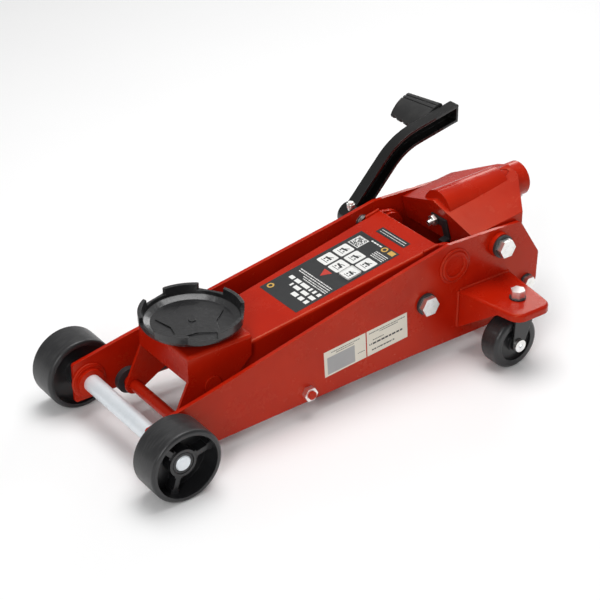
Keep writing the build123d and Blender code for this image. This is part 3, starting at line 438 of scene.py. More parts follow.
@dataclass(frozen=True)
class Casting:
    """Black enamel over a rough iron casting."""

    finish: Finish
    deep: tuple = (0.004, 0.004, 0.0045)
    light: tuple = (0.011, 0.011, 0.012)
    bare: tuple = (0.14, 0.14, 0.14)
    roughness: float = 0.26
    coat: float = 0.45
    coat_roughness: float = 0.12
    edge_radius: float = 0.0012
    lumps: Grain = Grain(150.0, 3.0, 0.55)
    lump_levels: tuple = (0.3, 0.7)
    lump_relief: Relief = Relief(0.0012, 0.6)
    grit: Grain = Grain(650.0)
    grit_rough: float = 0.16
    grit_relief: Relief = Relief(0.00015, 0.5)
    wear: Grain = Grain(300.0, 4.0, 0.7, (0.5, 0.7))
    wear_share: float = 0.35
    wear_rough: float = 0.1

    def make(self) -> bpy.types.Material:
        """Builds the material."""
        graph = Graph(self.finish.value)
        soft = graph.rounded(self.edge_radius)
        lumps = graph.noise(self.lumps)
        grit = graph.noise(self.grit)
        worn = graph.edges(soft) * graph.noise(self.wear)
        colour = graph.blend(lumps.band(*self.lump_levels), self.deep, self.light)
        colour = graph.blend(worn * self.wear_share, colour, self.bare)
        rough = self.roughness + grit * self.grit_rough + worn * self.wear_rough
        normal = graph.bump(lumps, self.lump_relief, soft)
        normal = graph.bump(grit, self.grit_relief, normal)
        return graph.finish(
            Base_Color=colour,
            Roughness=rough,
            Normal=normal,
            Coat_Weight=self.coat,
            Coat_Roughness=self.coat_roughness,
        )


@dataclass(frozen=True)
class WheelFinish:
    """Black wheels: a scuffed tread outside a smooth, slightly pebbled side."""

    finish: Finish
    axle: tuple
    tread_r: float
    tread_levels: tuple = (-0.0012, -0.0002)
    base: tuple = (0.011, 0.011, 0.012)
    scuffed: tuple = (0.06, 0.06, 0.06)
    roughness: float = 0.26
    coat: float = 0.15
    edge_radius: float = 0.0012
    tread_rough: float = 0.14
    scuff_scale: tuple = (60.0, 420.0, 60.0)
    scuffs: Grain = Grain(1.0, 5.0, 0.65, (0.48, 0.72))
    scuff_share: float = 0.5
    scuff_rough: float = 0.16
    scuff_relief: Relief = Relief(0.00008, 0.5)
    pebbles: Grain = Grain(380.0, 3.0, 0.5)
    pebble_rough: float = 0.14
    pebble_relief: Relief = Relief(0.00016, 0.6)

    def make(self) -> bpy.types.Material:
        """Builds the material."""
        graph = Graph(self.finish.value)
        soft = graph.rounded(self.edge_radius)
        flat = graph.stretched((1.0, 0.0, 1.0), self.axle)
        length = graph.node("ShaderNodeVectorMath", {"operation": "LENGTH"}, {0: flat})
        radius = Wire(graph, length.outputs["Value"])
        low, high = (self.tread_r + level for level in self.tread_levels)
        tread = radius.band(low, high)
        scuffs = graph.noise(self.scuffs, graph.stretched(self.scuff_scale))
        pebbles = graph.noise(self.pebbles)
        worn = tread * scuffs
        colour = graph.blend(worn * self.scuff_share, self.base, self.scuffed)
        rough = self.roughness + pebbles * self.pebble_rough + tread * self.tread_rough
        rough = rough + worn * self.scuff_rough
        normal = graph.bump(pebbles, self.pebble_relief, soft)
        normal = graph.bump(scuffs * tread, self.scuff_relief, normal)
        return graph.finish(
            Base_Color=colour, Roughness=rough, Normal=normal, Coat_Weight=self.coat
        )


@dataclass(frozen=True)
class Rubber:
    """Matt black rubber with a fine grain and a little dust."""

    finish: Finish
    clean: tuple = (0.013, 0.013, 0.013)
    dusty: tuple = (0.04, 0.039, 0.037)
    roughness: float = 0.5
    edge_radius: float = 0.0008
    dust: Grain = Grain(60.0, 5.0, 0.65, (0.5, 0.8))
    dust_share: float = 0.5
    grit: Grain = Grain(1400.0, 3.0, 0.6)
    grit_rough: float = 0.18
    grit_relief: Relief = Relief(0.00012, 0.5)

    def make(self) -> bpy.types.Material:
        """Builds the material."""
        graph = Graph(self.finish.value)
        grit = graph.noise(self.grit)
        colour = graph.blend(graph.noise(self.dust) * self.dust_share, self.clean, self.dusty)
        rough = self.roughness + grit * self.grit_rough
        normal = graph.bump(grit, self.grit_relief, graph.rounded(self.edge_radius))
        return graph.finish(Base_Color=colour, Roughness=rough, Normal=normal)


@dataclass(frozen=True)
class Ink:
    """Printed vinyl: one colour with a fine paper grain and a few faded patches."""

    finish: Finish
    colour: tuple
    faded: tuple
    roughness: float = 0.38
    patches: Grain = Grain(55.0, 4.0, 0.6, (0.5, 0.8))
    patch_share: float = 0.4
    paper: Grain = Grain(1800.0)
    paper_rough: float = 0.1
    ripple: Grain = Grain(160.0)
    ripple_relief: Relief = Relief(0.00006, 0.4)

    def make(self) -> bpy.types.Material:
        """Builds the material."""
        graph = Graph(self.finish.value)
        patches = graph.noise(self.patches) * self.patch_share
        colour = graph.blend(patches, self.colour, self.faded)
        rough = self.roughness + graph.noise(self.paper) * self.paper_rough
        normal = graph.bump(graph.noise(self.ripple), self.ripple_relief)
        return graph.finish(Base_Color=colour, Roughness=rough, Normal=normal)


@dataclass(frozen=True)
class StudioFloor:
    """The pale floor the jack stands on."""

    finish: Finish = Finish.STUDIO_FLOOR
    dim: tuple = (0.93, 0.93, 0.93)
    bright: tuple = (0.95, 0.95, 0.95)
    tone: Grain = Grain(3.0, 3.0)
    roughness: float = 0.7
    gloss: float = 0.2

    def make(self) -> bpy.types.Material:
        """Builds the material."""
        graph = Graph(self.finish.value)
        colour = graph.blend(graph.noise(self.tone), self.dim, self.bright)
        return graph.finish(
            Base_Color=colour, Roughness=self.roughness, Specular_IOR_Level=self.gloss
        )


PAINTS = (
    Enamel(
        Finish.RED_ENAMEL,
        deep=(0.40, 0.0085, 0.0014),
        light=(0.46, 0.013, 0.0022),
        edge=(0.34, 0.03, 0.014),
    ),
    Enamel(
        Finish.BLACK_ENAMEL,
        deep=(0.003, 0.003, 0.003),
        light=(0.006, 0.006, 0.006),
        # A pale grey edge colour: a painted highlight along the bends of the black enamel.
        edge=(0.1, 0.1, 0.1),
        roughness=0.14,
        coat=0.5,
        glow=WHITE,
        edge_radius=0.002,
    ),
    Enamel(
        Finish.BLACK_OXIDE,
        deep=(0.02, 0.02, 0.022),
        light=(0.032, 0.032, 0.034),
        edge=(0.2, 0.2, 0.2),
        roughness=0.36,
        gloss=0.4,
        glow=WHITE,
    ),
)
METALS = (
    Plating(
        Finish.ZINC_PLATE,
        pale=(0.93, 0.94, 0.95),
        dark=(0.42, 0.41, 0.38),
        tint=(0.86, 0.85, 0.8),
    ),
    Plating(
        Finish.BRIGHT_BAR,
        pale=(0.84, 0.88, 0.91),
        dark=(0.66, 0.7, 0.73),
        tint=(0.78, 0.83, 0.87),
        roughness=0.3,
        metal=0.35,
    ),
    Plating(
        Finish.TURNED_STEEL,
        pale=(0.5, 0.5, 0.51),
        dark=(0.16, 0.15, 0.14),
        tint=(0.4, 0.39, 0.37),
        roughness=0.3,
    ),
    Plating(
        Finish.SPRING_STEEL,
        pale=(0.3, 0.3, 0.31),
        dark=(0.09, 0.08, 0.07),
        tint=(0.24, 0.22, 0.2),
        roughness=0.34,
    ),
    Casting(Finish.CAST_IRON),
)
INKS = (
    Ink(Finish.LABEL_BLACK, (0.012, 0.013, 0.014), (0.03, 0.03, 0.03)),
    Ink(Finish.LABEL_WHITE, (0.78, 0.78, 0.76), (0.68, 0.67, 0.64)),
    Ink(Finish.LABEL_GREY, (0.36, 0.36, 0.36), (0.3, 0.3, 0.3)),
    Ink(Finish.LABEL_CREAM, (0.74, 0.70, 0.60), (0.66, 0.62, 0.54)),
    Ink(Finish.LABEL_RED, (0.5, 0.025, 0.01), (0.42, 0.03, 0.02)),
    Ink(Finish.LABEL_YELLOW, (0.62, 0.37, 0.07), (0.55, 0.33, 0.08)),
)


class Finishes:
    """Every finish of the jack, made once and looked up by its option."""

    def __init__(self) -> None:
        """Makes the materials."""
        makers = [*PAINTS, *METALS, *INKS, Rubber(Finish.PAD_RUBBER), StudioFloor()]
        makers.append(self.wheel(Finish.FRONT_WHEEL, "front_wheel_left"))
        makers.append(self.wheel(Finish.CASTER, "caster_wheel_left"))
        self.made = {maker.finish: maker.make() for maker in makers}

    @staticmethod
    def wheel(finish: Finish, node: str) -> WheelFinish:
        """The finish of a wheel and its twin, centred on their axle.

        Args:
            finish: which finish it is.
            node: the CAD node of the wheel.

        Returns:
            The finish, sized for that wheel.
        """
        low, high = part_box(node)
        return WheelFinish(finish, tuple((low + high) / 2), (high.z - low.z) / 2)

    def dress(self, thing: bpy.types.Object, finish: Finish) -> None:
        """Gives an object one finish in place of what it has."""
        thing.data.materials.clear()
        thing.data.materials.append(self.made[finish])



# ---- the bench: making meshes with operators ----------------------------------------------


class Bench:
    """Mesh making with Blender's own tools, one object at a time."""

    @staticmethod
    def clear() -> None:
        """Leaves nothing selected."""
        if bpy.context.object is not None and bpy.context.object.mode != "OBJECT":
            bpy.ops.object.mode_set(mode="OBJECT")
        bpy.ops.object.select_all(action="DESELECT")

    @staticmethod
    def take(*things: bpy.types.Object) -> None:
        """Selects these objects and makes the first one active.

        Args:
            things: the objects to work on.
        """
        Bench.clear()
        for thing in things:
            thing.select_set(True)
        bpy.context.view_layer.objects.active = things[0]

    @staticmethod
    def rename(thing: bpy.types.Object, name: str) -> None:
        """Gives an object and its mesh the same name."""
        thing.name = name
        thing.data.name = name

    @staticmethod
    def settle(thing: bpy.types.Object, name: str) -> bpy.types.Object:
        """Names an object and moves its place into its mesh.

        Args:
            thing: the object.
            name: the name it gets.

        Returns:
            The same object, at the origin.
        """
        Bench.take(thing)
        Bench.rename(thing, name)
        bpy.ops.object.transform_apply(location=True, rotation=True, scale=True)
        return thing

    @staticmethod
    def block(name: str, size: tuple) -> bpy.types.Object:
        """A block about the origin.

        Args:
            name: the object's name.
            size: its lengths in metres.

        Returns:
            The new object.
        """
        Bench.clear()
        bpy.ops.mesh.primitive_cube_add(size=1.0, location=ORIGIN, scale=size)
        return Bench.settle(bpy.context.object, name)

    @staticmethod
    def join(name: str, things: list) -> bpy.types.Object:
        """Makes one object of several.

        Args:
            name: the name it gets.
            things: the objects to join.

        Returns:
            The joined object.
        """
        Bench.take(*things)
        bpy.ops.object.join()
        Bench.rename(bpy.context.object, name)
        return bpy.context.object

    @staticmethod
    def apply(thing: bpy.types.Object, kind: str, **settings: object) -> None:
        """Adds a modifier and applies it at once.

        Args:
            thing: the object to change.
            kind: the modifier's type name.
            settings: the modifier's own properties.
        """
        Bench.take(thing)
        modifier = thing.modifiers.new(kind.lower(), kind)
        for key, value in settings.items():
            setattr(modifier, key, value)
        bpy.ops.object.modifier_apply(modifier=modifier.name)

    @staticmethod
    def turn(thing: bpy.types.Object, matrix: Matrix) -> bpy.types.Object:
        """Moves and turns an object, with its place kept in its mesh.

        Args:
            thing: the object.
            matrix: where it goes.

        Returns:
            The same object, at the origin.
        """
        thing.matrix_world = matrix
        bpy.context.view_layer.update()
        return Bench.settle(thing, thing.name)

    @staticmethod
    def edit(action: str) -> None:
        """Enters edit mode with everything or nothing selected.

        Args:
            action: SELECT or DESELECT.
        """
        bpy.ops.object.mode_set(mode="EDIT")
        bpy.ops.mesh.select_all(action=action)

    @staticmethod
    def leave_edit() -> None:
        """Goes back to object mode."""
        bpy.ops.object.mode_set(mode="OBJECT")

    @staticmethod
    def outward(thing: bpy.types.Object) -> None:
        """Merges doubles and turns every face outwards."""
        Bench.take(thing)
        Bench.edit("SELECT")
        bpy.ops.mesh.remove_doubles(threshold=TINY)
        bpy.ops.mesh.normals_make_consistent(inside=False)
        Bench.leave_edit()


@dataclass
class Assembly:
    """A group of pieces that share a set of finishes."""

    finishes: Finishes

    def hand_over(self, thing: bpy.types.Object, finish: Finish, body: str) -> bpy.types.Object:
        """Dresses a finished piece and ties it to a body of the frame.

        Args:
            thing: the piece.
            finish: the finish it gets.
            body: the CAD body it moves with.

        Returns:
            The same piece.
        """
        self.finishes.dress(thing, finish)
        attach(thing, body)
        LOG.info("%s: %d faces on %s", thing.name, len(thing.data.polygons), body)
        return thing


# ---- labels -----------------------------------------------------------------------------


class Layer(Enum):
    """How high a patch of print lies on its sheet."""

    FILM = 0
    INK = 1
    SECOND_INK = 2


@dataclass(frozen=True)
class Mark:
    """A rectangle of print: its middle and sides in millimetres, and its turn in radians."""

    u: float
    v: float
    length: float
    width: float
    turn: float = 0.0


@dataclass(frozen=True)
class Row:
    """A row of dashes at u, from one v to another, with its height and its seed."""

    u: float
    start: float
    end: float
    height: float
    seed: int


@dataclass
class Sheet:
    """A flat patch of the jack that print lies on: u runs along it and v across it."""

    origin: Vector
    along: Vector
    across: Vector
    out: Vector

    def matrix(self, u: float, v: float, lift: float, turn: float = 0.0) -> Matrix:
        """Where something lies on the sheet.

        Args:
            u: millimetres along.
            v: millimetres across.
            lift: millimetres above.
            turn: radians about the sheet's normal.

        Returns:
            The placing matrix.
        """
        middle = self.origin + (self.along * u + self.across * v + self.out * lift) * MM
        axes = Matrix((self.along, self.across, self.out)).transposed().to_4x4()
        return Matrix.Translation(middle) @ axes @ Matrix.Rotation(turn, 4, "Z")


@dataclass
class Printer(Assembly):
    """Lays labels and their marks on sheets; its sizes are in millimetres."""

    film: float = 0.16
    ink: float = 0.05
    corner_segments: int = 4
    dash_lengths: tuple = (0.5, 2.4)
    dash_gaps: tuple = (0.35, 0.7)
    dash_least: float = 0.6

    def patch(
        self, name: str, sheet: Sheet, mark: Mark, layer: Layer = Layer.INK, corner: float = 0.0
    ) -> bpy.types.Object:
        """One rectangle of print.

        Args:
            name: the object's name.
            sheet: what it lies on.
            mark: its place, sides and turn.
            layer: how high it lies.
            corner: radius of its corners in millimetres.

        Returns:
            The new object.
        """
        if layer is Layer.FILM:
            thick, lift = self.film, self.film / 2
        else:
            thick, lift = self.ink, self.film + self.ink * (layer.value - 0.5)
        patch = Bench.block(name, (mark.length * MM, mark.width * MM, thick * MM))
        if corner:
            self.round_corners(patch, corner * MM)
        return Bench.turn(patch, sheet.matrix(mark.u, mark.v, lift, mark.turn))

    def round_corners(self, patch: bpy.types.Object, radius: float) -> None:
        """Rounds the four upright edges of a flat block.

        Args:
            patch: the block.
            radius: the corners' radius in metres.
        """
        Bench.take(patch)
        Bench.edit("DESELECT")
        Bench.leave_edit()
        for edge in patch.data.edges:
            first, second = (patch.data.vertices[i].co for i in edge.vertices)
            edge.select = abs(first.z - second.z) > TINY
        # The first block gets here in vertex mode, so this picks, and rounds, all of its edges.
        bpy.ops.object.mode_set(mode="EDIT")
        bpy.ops.mesh.select_mode(type="EDGE")
        bpy.ops.mesh.bevel(
            offset=radius, offset_type="OFFSET", segments=self.corner_segments, affect="EDGES"
        )
        Bench.leave_edit()

    def writing(self, name: str, sheet: Sheet, rows: tuple) -> bpy.types.Object:
        """Rows of short dashes that stand for writing.

        Args:
            name: the object's name.
            sheet: what they lie on.
            rows: the rows.

        Returns:
            The rows as one object.
        """
        dashes = []
        for row in rows:
            draw = random.Random(row.seed)
            v = row.start
            way = 1.0 if row.end > row.start else -1.0
            while (row.end - v) * way > row.height * self.dash_least:
                long = min(row.height * draw.uniform(*self.dash_lengths), abs(row.end - v))
                mark = Mark(row.u, v + way * long / 2, row.height, long)
                dashes.append(self.patch("dash", sheet, mark))
                v += way * (long + row.height * draw.uniform(*self.dash_gaps))
        return Bench.join(name, dashes)


@dataclass
class TopLabels(Printer):
    """The black label and the small strip on the arm's sloping top."""

    slope: float = 55.0 / 314.0
    foot: tuple = (144.0, 0.0, 112.0)
    film_mark: Mark = Mark(184.0, 0.0, 174.0, 83.0)
    strip_mark: Mark = Mark(290.0, -4.0, 13.0, 60.0)
    title_rows: tuple = (
        Row(120.0, -36.0, -2.0, 7.0, 3),
        Row(130.5, -36.5, 20.0, 6.4, 5),
        Row(140.5, -36.5, 33.5, 6.4, 8),
    )
    small_rows: tuple = (
        Row(148.5, -37.0, 12.0, 1.6, 11),
        Row(152.0, -37.0, 16.0, 1.6, 12),
        Row(156.2, -36.0, 33.0, 1.7, 13),
        Row(160.2, -36.0, 33.0, 1.7, 14),
        Row(243.5, -37.0, -12.0, 1.5, 243),
        Row(247.0, -37.0, -12.0, 1.5, 247),
        Row(250.5, -37.0, -12.0, 1.5, 250),
        Row(254.0, -37.0, -12.0, 1.5, 254),
        Row(288.0, 22.0, -32.0, 1.1, 31),
        Row(292.5, 22.0, -30.0, 1.3, 32),
        Row(265.5, 12.0, -10.0, 2.4, 33),
    )
    picture_seed: int = 41
    square_rows: tuple = (198.8, 226.0)
    square_columns: tuple = (-26.0, -1.0, 24.0)
    square_sides: tuple = (23.5, 21.5)
    square_corner: float = 2.5
    card_mark: Mark = Mark(252.0, 24.0, 21.0, 21.0)
    cells_across: int = 14
    cells_side: float = 18.5
    cells_kept: float = 0.5
    triangle_spot: tuple = (177.5, 0.5)
    triangle_r: float = 9.5
    ring_spots: tuple = ((109.5, 33.0), (264.0, -18.0))
    ring_r: float = 4.0
    ring_wire_r: float = 1.1
    ring_flatness: float = 0.03
    ring_segments: tuple = (36, 6)
    badge_mark: Mark = Mark(264.5, -32.5, 8.0, 11.0)

    def sheet(self) -> Sheet:
        """The arm's top plate."""
        angle = math.atan(self.slope)
        along = Vector((math.cos(angle), 0.0, math.sin(angle)))
        out = Vector((-math.sin(angle), 0.0, math.cos(angle)))
        return Sheet(place(*self.foot), along, ACROSS, out)

    def build(self) -> None:
        """Makes the labels and their marks."""
        sheet = self.sheet()
        film = self.patch("top_label_film", sheet, self.film_mark, Layer.FILM)
        self.hand_over(film, Finish.LABEL_BLACK, ARM_BODY)
        strip = self.patch("rear_strip_film", sheet, self.strip_mark, Layer.FILM)
        self.hand_over(strip, Finish.LABEL_BLACK, ARM_BODY)
        title = self.writing("top_label_title", sheet, self.title_rows)
        self.hand_over(title, Finish.LABEL_WHITE, ARM_BODY)
        small = self.writing("top_label_print", sheet, self.small_rows)
        self.hand_over(small, Finish.LABEL_WHITE, ARM_BODY)
        self.build_pictures(sheet)
        self.build_triangle(sheet)
        self.build_yellow(sheet)

    def build_pictures(self, sheet: Sheet) -> None:
        """Six white squares with simple pictures, and a grid of cells."""
        squares, lines = [], []
        draw = random.Random(self.picture_seed)
        for u in self.square_rows:
            for v in self.square_columns:
                mark = Mark(u, v, *self.square_sides)
                squares.append(self.patch("square", sheet, mark, corner=self.square_corner))
                lines += self.picture(sheet, u, v, draw)
        squares.append(self.patch("square", sheet, self.card_mark))
        self.hand_over(Bench.join("picture_squares", squares), Finish.LABEL_WHITE, ARM_BODY)
        self.hand_over(Bench.join("picture_lines", lines), Finish.LABEL_BLACK, ARM_BODY)
        self.hand_over(self.code_cells(sheet, draw), Finish.LABEL_BLACK, ARM_BODY)

    def picture(self, sheet: Sheet, u: float, v: float, draw: random.Random) -> list:
        """A plain picture of a body on two wheels with a lever, a little different each time.

        Args:
            sheet: what it lies on.
            u: its middle along the sheet, in millimetres.
            v: its middle across the sheet, in millimetres.
            draw: where its tilt and width are drawn from.

        Returns:
            The patches it is made of.
        """
        tilt = draw.uniform(-0.35, 0.35)
        wide = draw.uniform(9.0, 12.5)
        wheel_side, wheel_turn, axle_out = 2.6, 0.785, wide / 3.2
        body = Mark(u + 1.5, v, 3.2, wide, tilt)
        lever = Mark(u + 5.0, v - 2.0, 1.2, wide * 0.6, tilt + 0.5)
        near_wheel = Mark(u - 2.6, v - axle_out, wheel_side, wheel_side, wheel_turn)
        far_wheel = Mark(u - 2.6, v + axle_out, wheel_side, wheel_side, wheel_turn)
        ground = Mark(u - 6.0, v, 0.9, wide + 2.0)
        marks = (body, lever, near_wheel, far_wheel, ground)
        return [self.patch("line", sheet, mark, Layer.SECOND_INK) for mark in marks]

    def code_cells(self, sheet: Sheet, draw: random.Random) -> bpy.types.Object:
        """A chequer of cells at random, which says nothing.

        Args:
            sheet: what it lies on.
            draw: what says which cells are kept.

        Returns:
            The cells as one object.
        """
        Bench.clear()
        bpy.ops.mesh.primitive_grid_add(
            x_subdivisions=self.cells_across,
            y_subdivisions=self.cells_across,
            size=self.cells_side * MM,
        )
        grid = bpy.context.object
        grid.name = "code_cells"
        Bench.edit("DESELECT")
        bpy.ops.mesh.select_mode(type="FACE")
        Bench.leave_edit()
        for face in grid.data.polygons:
            face.select = draw.random() < self.cells_kept
        bpy.ops.object.mode_set(mode="EDIT")
        bpy.ops.mesh.delete(type="FACE")
        Bench.leave_edit()
        Bench.apply(grid, "SOLIDIFY", thickness=self.ink * MM, offset=1.0)
        lift = self.film + self.ink
        return Bench.turn(grid, sheet.matrix(self.card_mark.u, self.card_mark.v, lift))

    def build_triangle(self, sheet: Sheet) -> None:
        """A plain red triangle."""
        Bench.clear()
        bpy.ops.mesh.primitive_cylinder_add(
            vertices=3, radius=self.triangle_r * MM, depth=self.ink * MM
        )
        triangle = Bench.settle(bpy.context.object, "triangle_mark")
        lift = self.film + self.ink / 2
        triangle = Bench.turn(triangle, sheet.matrix(*self.triangle_spot, lift, math.pi / 2))
        self.hand_over(triangle, Finish.LABEL_RED, ARM_BODY)

    def build_yellow(self, sheet: Sheet) -> None:
        """Two yellow rings and a small rectangle."""
        major_segments, minor_segments = self.ring_segments
        marks = []
        for u, v in self.ring_spots:
            Bench.clear()
            bpy.ops.mesh.primitive_torus_add(
                major_radius=self.ring_r * MM,
                minor_radius=self.ring_wire_r * MM,
                major_segments=major_segments,
                minor_segments=minor_segments,
            )
            ring = bpy.context.object
            ring.scale.z = self.ring_flatness
            ring = Bench.settle(ring, "yellow_mark")
            marks.append(Bench.turn(ring, sheet.matrix(u, v, self.film + self.ink)))
        marks.append(self.patch("yellow_mark", sheet, self.badge_mark))
        self.hand_over(Bench.join("yellow_marks", marks), Finish.LABEL_YELLOW, ARM_BODY)


@dataclass
class SideLabel(Printer):
    """The pale two-part label on the near plate."""

    near_end: tuple = (249.0, -88.0, 67.0)
    far_end: tuple = (393.0, -83.45, 76.5)
    panels: tuple = (Mark(37.0, 0.0, 70.0, 39.0), Mark(109.0, 0.0, 70.0, 39.0))
    shade_mark: Mark = Mark(30.0, -4.0, 46.0, 26.0)
    print_rows: tuple = (
        Row(-15.0, 14.0, 62.0, 1.1, 51),
        Row(-12.0, 22.0, 52.0, 1.0, 52),
        Row(7.0, 58.0, 70.0, 1.0, 53),
        Row(-14.5, 78.0, 141.0, 1.2, 54),
        Row(-11.5, 96.0, 128.0, 1.2, 55),
        Row(-2.5, 84.0, 104.0, 1.2, 56),
        Row(3.0, 78.0, 136.0, 2.6, 57),
        Row(12.5, 82.0, 122.0, 2.0, 58),
    )

    def sheet(self) -> Sheet:
        """The outer face of the near plate, along the label."""
        start, end = place(*self.near_end), place(*self.far_end)
        along = (end - start).normalized()
        out = Vector((along.y, -along.x, 0.0)).normalized()
        across = out.cross(along).normalized()
        return Sheet(start, along, across, out)

    def build(self) -> None:
        """Makes the two panels and their rows of print."""
        sheet = self.sheet()
        films = [self.patch("film", sheet, panel, Layer.FILM) for panel in self.panels]
        self.hand_over(Bench.join("side_label_film", films), Finish.LABEL_CREAM, FRAME_BODY)
        shade = self.patch("side_label_shade", sheet, self.shade_mark)
        self.hand_over(shade, Finish.LABEL_GREY, FRAME_BODY)
        turned = Sheet(sheet.origin, -sheet.across, sheet.along, sheet.out)
        rows = self.writing("side_label_print", turned, self.print_rows)
        self.hand_over(rows, Finish.LABEL_BLACK, FRAME_BODY)


# ---- welds ------------------------------------------------------------------------------


@dataclass
class WeldSeams(Assembly):
    """Rippled beads where plates and bosses are joined; its sizes are in millimetres."""

    bead_r: float = 2.6
    ripple: float = 1.9
    dome_scale: tuple = (0.85, 1.0, 1.0)
    dome_segments: int = 10
    dome_rings: int = 6
    plate_y: float = 83.6
    pivot_x: float = 472.0
    pivot_z: float = 140.0
    pivot_seam_r: float = 23.6
    shelf_ends: tuple = (486.0, 572.0)
    shelf_z: float = 98.4
    gusset_x: float = 481.5
    gusset_ends: tuple = (96.0, 44.0)
    axle_y: float = 87.6
    axle_z: float = 50.0
    axle_seam_r: float = 22.4
    heel_start: tuple = (436.0, 62.6, 163.6)
    heel_end: tuple = (457.0, 63.8, 167.2)

    def ripple_dome(self, name: str, centre: Vector, along: Vector) -> bpy.types.Object:
        """One flattened drop of weld, pointing along its seam.

        Args:
            name: the object's name.
            centre: its middle in the row frame.
            along: the way its seam runs.

        Returns:
            The new object.
        """
        Bench.clear()
        bpy.ops.mesh.primitive_uv_sphere_add(
            segments=self.dome_segments, ring_count=self.dome_rings, radius=self.bead_r * MM
        )
        dome = bpy.context.object
        dome.scale = self.dome_scale
        dome = Bench.settle(dome, name)
        way = along.normalized().to_track_quat("X", "Z").to_matrix().to_4x4()
        return Bench.turn(dome, Matrix.Translation(centre) @ way)

    def straight(self, name: str, start: Vector, end: Vector, body: str = FRAME_BODY) -> None:
        """A bead from one point to another.

        Args:
            name: the piece's name.
            start: the first drop's middle.
            end: the last drop's middle.
            body: the body it rides on.
        """
        way = end - start
        count = max(2, int(way.length / (self.ripple * MM)))
        bead = self.ripple_dome(name, start, way)
        Bench.apply(
            bead,
            "ARRAY",
            count=count,
            use_relative_offset=False,
            use_constant_offset=True,
            constant_offset_displace=way / (count - 1),
        )
        self.dress_bead(bead, body)

    def round(self, name: str, centre: Vector, radius: float) -> None:
        """A bead round a boss of the frame whose axis is across the jack.

        Args:
            name: the piece's name.
            centre: the middle of the ring.
            radius: its radius in metres.
        """
        count = int(2 * math.pi * radius / (self.ripple * MM))
        first = centre + Vector((radius, 0.0, 0.0))
        bead = self.ripple_dome(name, first, UPWARD)
        Bench.take(bead)
        Bench.edit("SELECT")
        bpy.ops.mesh.spin(
            steps=count,
            dupli=True,
            angle=2 * math.pi * (count - 1) / count,
            center=centre,
            axis=ACROSS,
        )
        Bench.leave_edit()
        self.dress_bead(bead, FRAME_BODY)

    def dress_bead(self, bead: bpy.types.Object, body: str) -> None:
        """Smooths a bead and gives it the red paint."""
        Bench.outward(bead)
        Bench.take(bead)
        bpy.ops.object.shade_smooth()
        self.hand_over(bead, Finish.RED_ENAMEL, body)

    def build(self) -> None:
        """Lays every seam on both sides of the jack."""
        for side in Side:
            self.build_side(side, side.name.lower())

    def build_side(self, side: Side, word: str) -> None:
        """Lays the seams of one side.

        Args:
            side: the side of the jack.
            word: the side as the pieces' names say it.
        """
        pivot = side.place(self.pivot_x, self.plate_y, self.pivot_z)
        self.round(f"weld_pivot_{word}", pivot, self.pivot_seam_r * MM)
        shelf = [side.place(x, self.plate_y, self.shelf_z) for x in self.shelf_ends]
        self.straight(f"weld_shelf_{word}", *shelf)
        gusset = [side.place(self.gusset_x, self.plate_y, z) for z in self.gusset_ends]
        self.straight(f"weld_gusset_{word}", *gusset)
        axle = side.place(0.0, self.axle_y, self.axle_z)
        self.round(f"weld_axle_{word}", axle, self.axle_seam_r * MM)
        heel = [side.place(*end) for end in (self.heel_start, self.heel_end)]
        self.straight(f"weld_heel_{word}", *heel, ARM_BODY)


# ---- the studio ---------------------------------------------------------------------------


@dataclass(frozen=True)
class Lamp:
    """A soft rectangular lamp: its place and sides in metres and its power in watts."""

    name: str
    spot: tuple
    size: tuple
    power: float


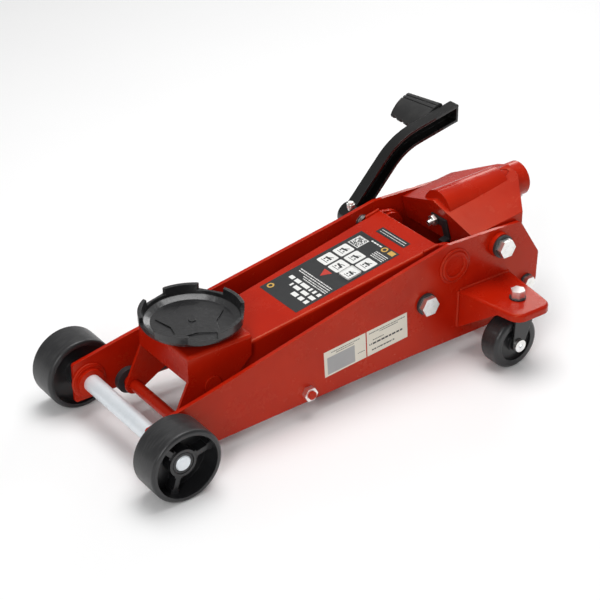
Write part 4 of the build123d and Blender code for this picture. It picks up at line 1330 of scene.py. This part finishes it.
@dataclass
class Studio:
    """The floor, the lights and the camera."""

    finishes: Finishes
    floor_size: float = 40.0
    eye: tuple = (-850.3, -1550.3, 1244.2)
    back: tuple = (-0.5065, -0.6971, 0.5075)
    roll: float = -0.2
    lens: float = 100.58
    sensor: float = 36.0
    clip: tuple = (0.05, 60.0)
    aim: tuple = (0.0, 0.0, 0.1)
    lamps: tuple = (
        Lamp("overhead", (0.2, 0.2, 2.2), (1.5, 1.5), 34.0),
        Lamp("front_left", (-2.0, -1.6, 1.5), (0.6, 1.6), 24.0),
        Lamp("rear_right", (2.2, 1.6, 1.3), (1.4, 0.7), 15.0),
    )
    room_light: float = 0.36

    def build(self) -> None:
        """Sets everything up around the jack."""
        self.build_floor()
        self.build_camera()
        for lamp in self.lamps:
            self.build_lamp(lamp)
        self.build_room()

    def build_floor(self) -> None:
        """A wide pale plane under the wheels."""
        Bench.clear()
        bpy.ops.mesh.primitive_plane_add(size=self.floor_size, location=ORIGIN)
        floor = bpy.context.object
        floor.name = "studio_floor"
        self.finishes.dress(floor, Finish.STUDIO_FLOOR)

    def build_camera(self) -> None:
        """The camera, high at the left front of the jack."""
        data = bpy.data.cameras.new("camera")
        data.lens = self.lens
        data.sensor_width = self.sensor
        data.clip_start, data.clip_end = self.clip
        camera = bpy.data.objects.new("camera", data)
        bpy.context.scene.collection.objects.link(camera)
        away = Vector(self.back).normalized()
        right = UPWARD.cross(away).normalized()
        up = away.cross(right)
        tilt = Matrix.Rotation(math.radians(self.roll), 4, "Z")
        axes = Matrix((right, up, away)).transposed().to_4x4()
        camera.matrix_world = Matrix.Translation(place(*self.eye)) @ axes @ tilt
        bpy.context.scene.camera = camera

    def build_lamp(self, lamp: Lamp) -> None:
        """Sets one lamp, aimed at the jack."""
        data = bpy.data.lights.new(lamp.name, "AREA")
        data.shape = "RECTANGLE"
        data.size, data.size_y = lamp.size
        data.energy = lamp.power
        thing = bpy.data.objects.new(lamp.name, data)
        bpy.context.scene.collection.objects.link(thing)
        thing.location = lamp.spot
        aim = Vector(self.aim) - Vector(lamp.spot)
        thing.rotation_euler = aim.to_track_quat("-Z", "Y").to_euler()

    def build_room(self) -> None:
        """An even white light from all round."""
        world = bpy.data.worlds.new("studio")
        world.use_nodes = True
        background = world.node_tree.nodes["Background"]
        background.inputs["Color"].default_value = (*WHITE, 1.0)
        background.inputs["Strength"].default_value = self.room_light
        bpy.context.scene.world = world
        bpy.context.scene.view_settings.view_transform = "Standard"


# ---- the CAD nodes' finishes --------------------------------------------------------------

SLOT_FINISH = {
    "red_paint": Finish.RED_ENAMEL,
    "zinc_plate": Finish.ZINC_PLATE,
    "dark_steel": Finish.BLACK_OXIDE,
    "plain_steel": Finish.TURNED_STEEL,
    "spring_steel": Finish.SPRING_STEEL,
    "black_cast": Finish.CAST_IRON,
    "black_paint": Finish.BLACK_ENAMEL,
    "black_nylon": Finish.CASTER,
    "black_rubber": Finish.PAD_RUBBER,
}
NODE_FINISH = {
    "front_wheel_left": Finish.FRONT_WHEEL,
    "front_wheel_right": Finish.FRONT_WHEEL,
    "front_axle": Finish.BRIGHT_BAR,
    "plate_washers": Finish.BLACK_OXIDE,
}


def dress_frame(finishes: Finishes) -> None:
    """Gives each CAD node the finish of its slot, or its own.

    Args:
        finishes: the finishes to take from.
    """
    for part in frame["record"]["subparts"]:
        name, slot = part["node"], part["material_slot"]
        node = frame["nodes"][name]
        finish = NODE_FINISH.get(name, SLOT_FINISH[slot])
        finishes.dress(node, finish)
        LOG.info("%s: %s", name, finish.value)


def main() -> None:
    """Builds the looks of the jack in order."""
    logging.basicConfig(level=logging.INFO, format="%(name)s %(message)s")
    Bench.clear()
    finishes = Finishes()
    dress_frame(finishes)
    for group in (TopLabels(finishes), SideLabel(finishes), WeldSeams(finishes)):
        group.build()
    Studio(finishes).build()


if __name__ == "__main__":
    main()
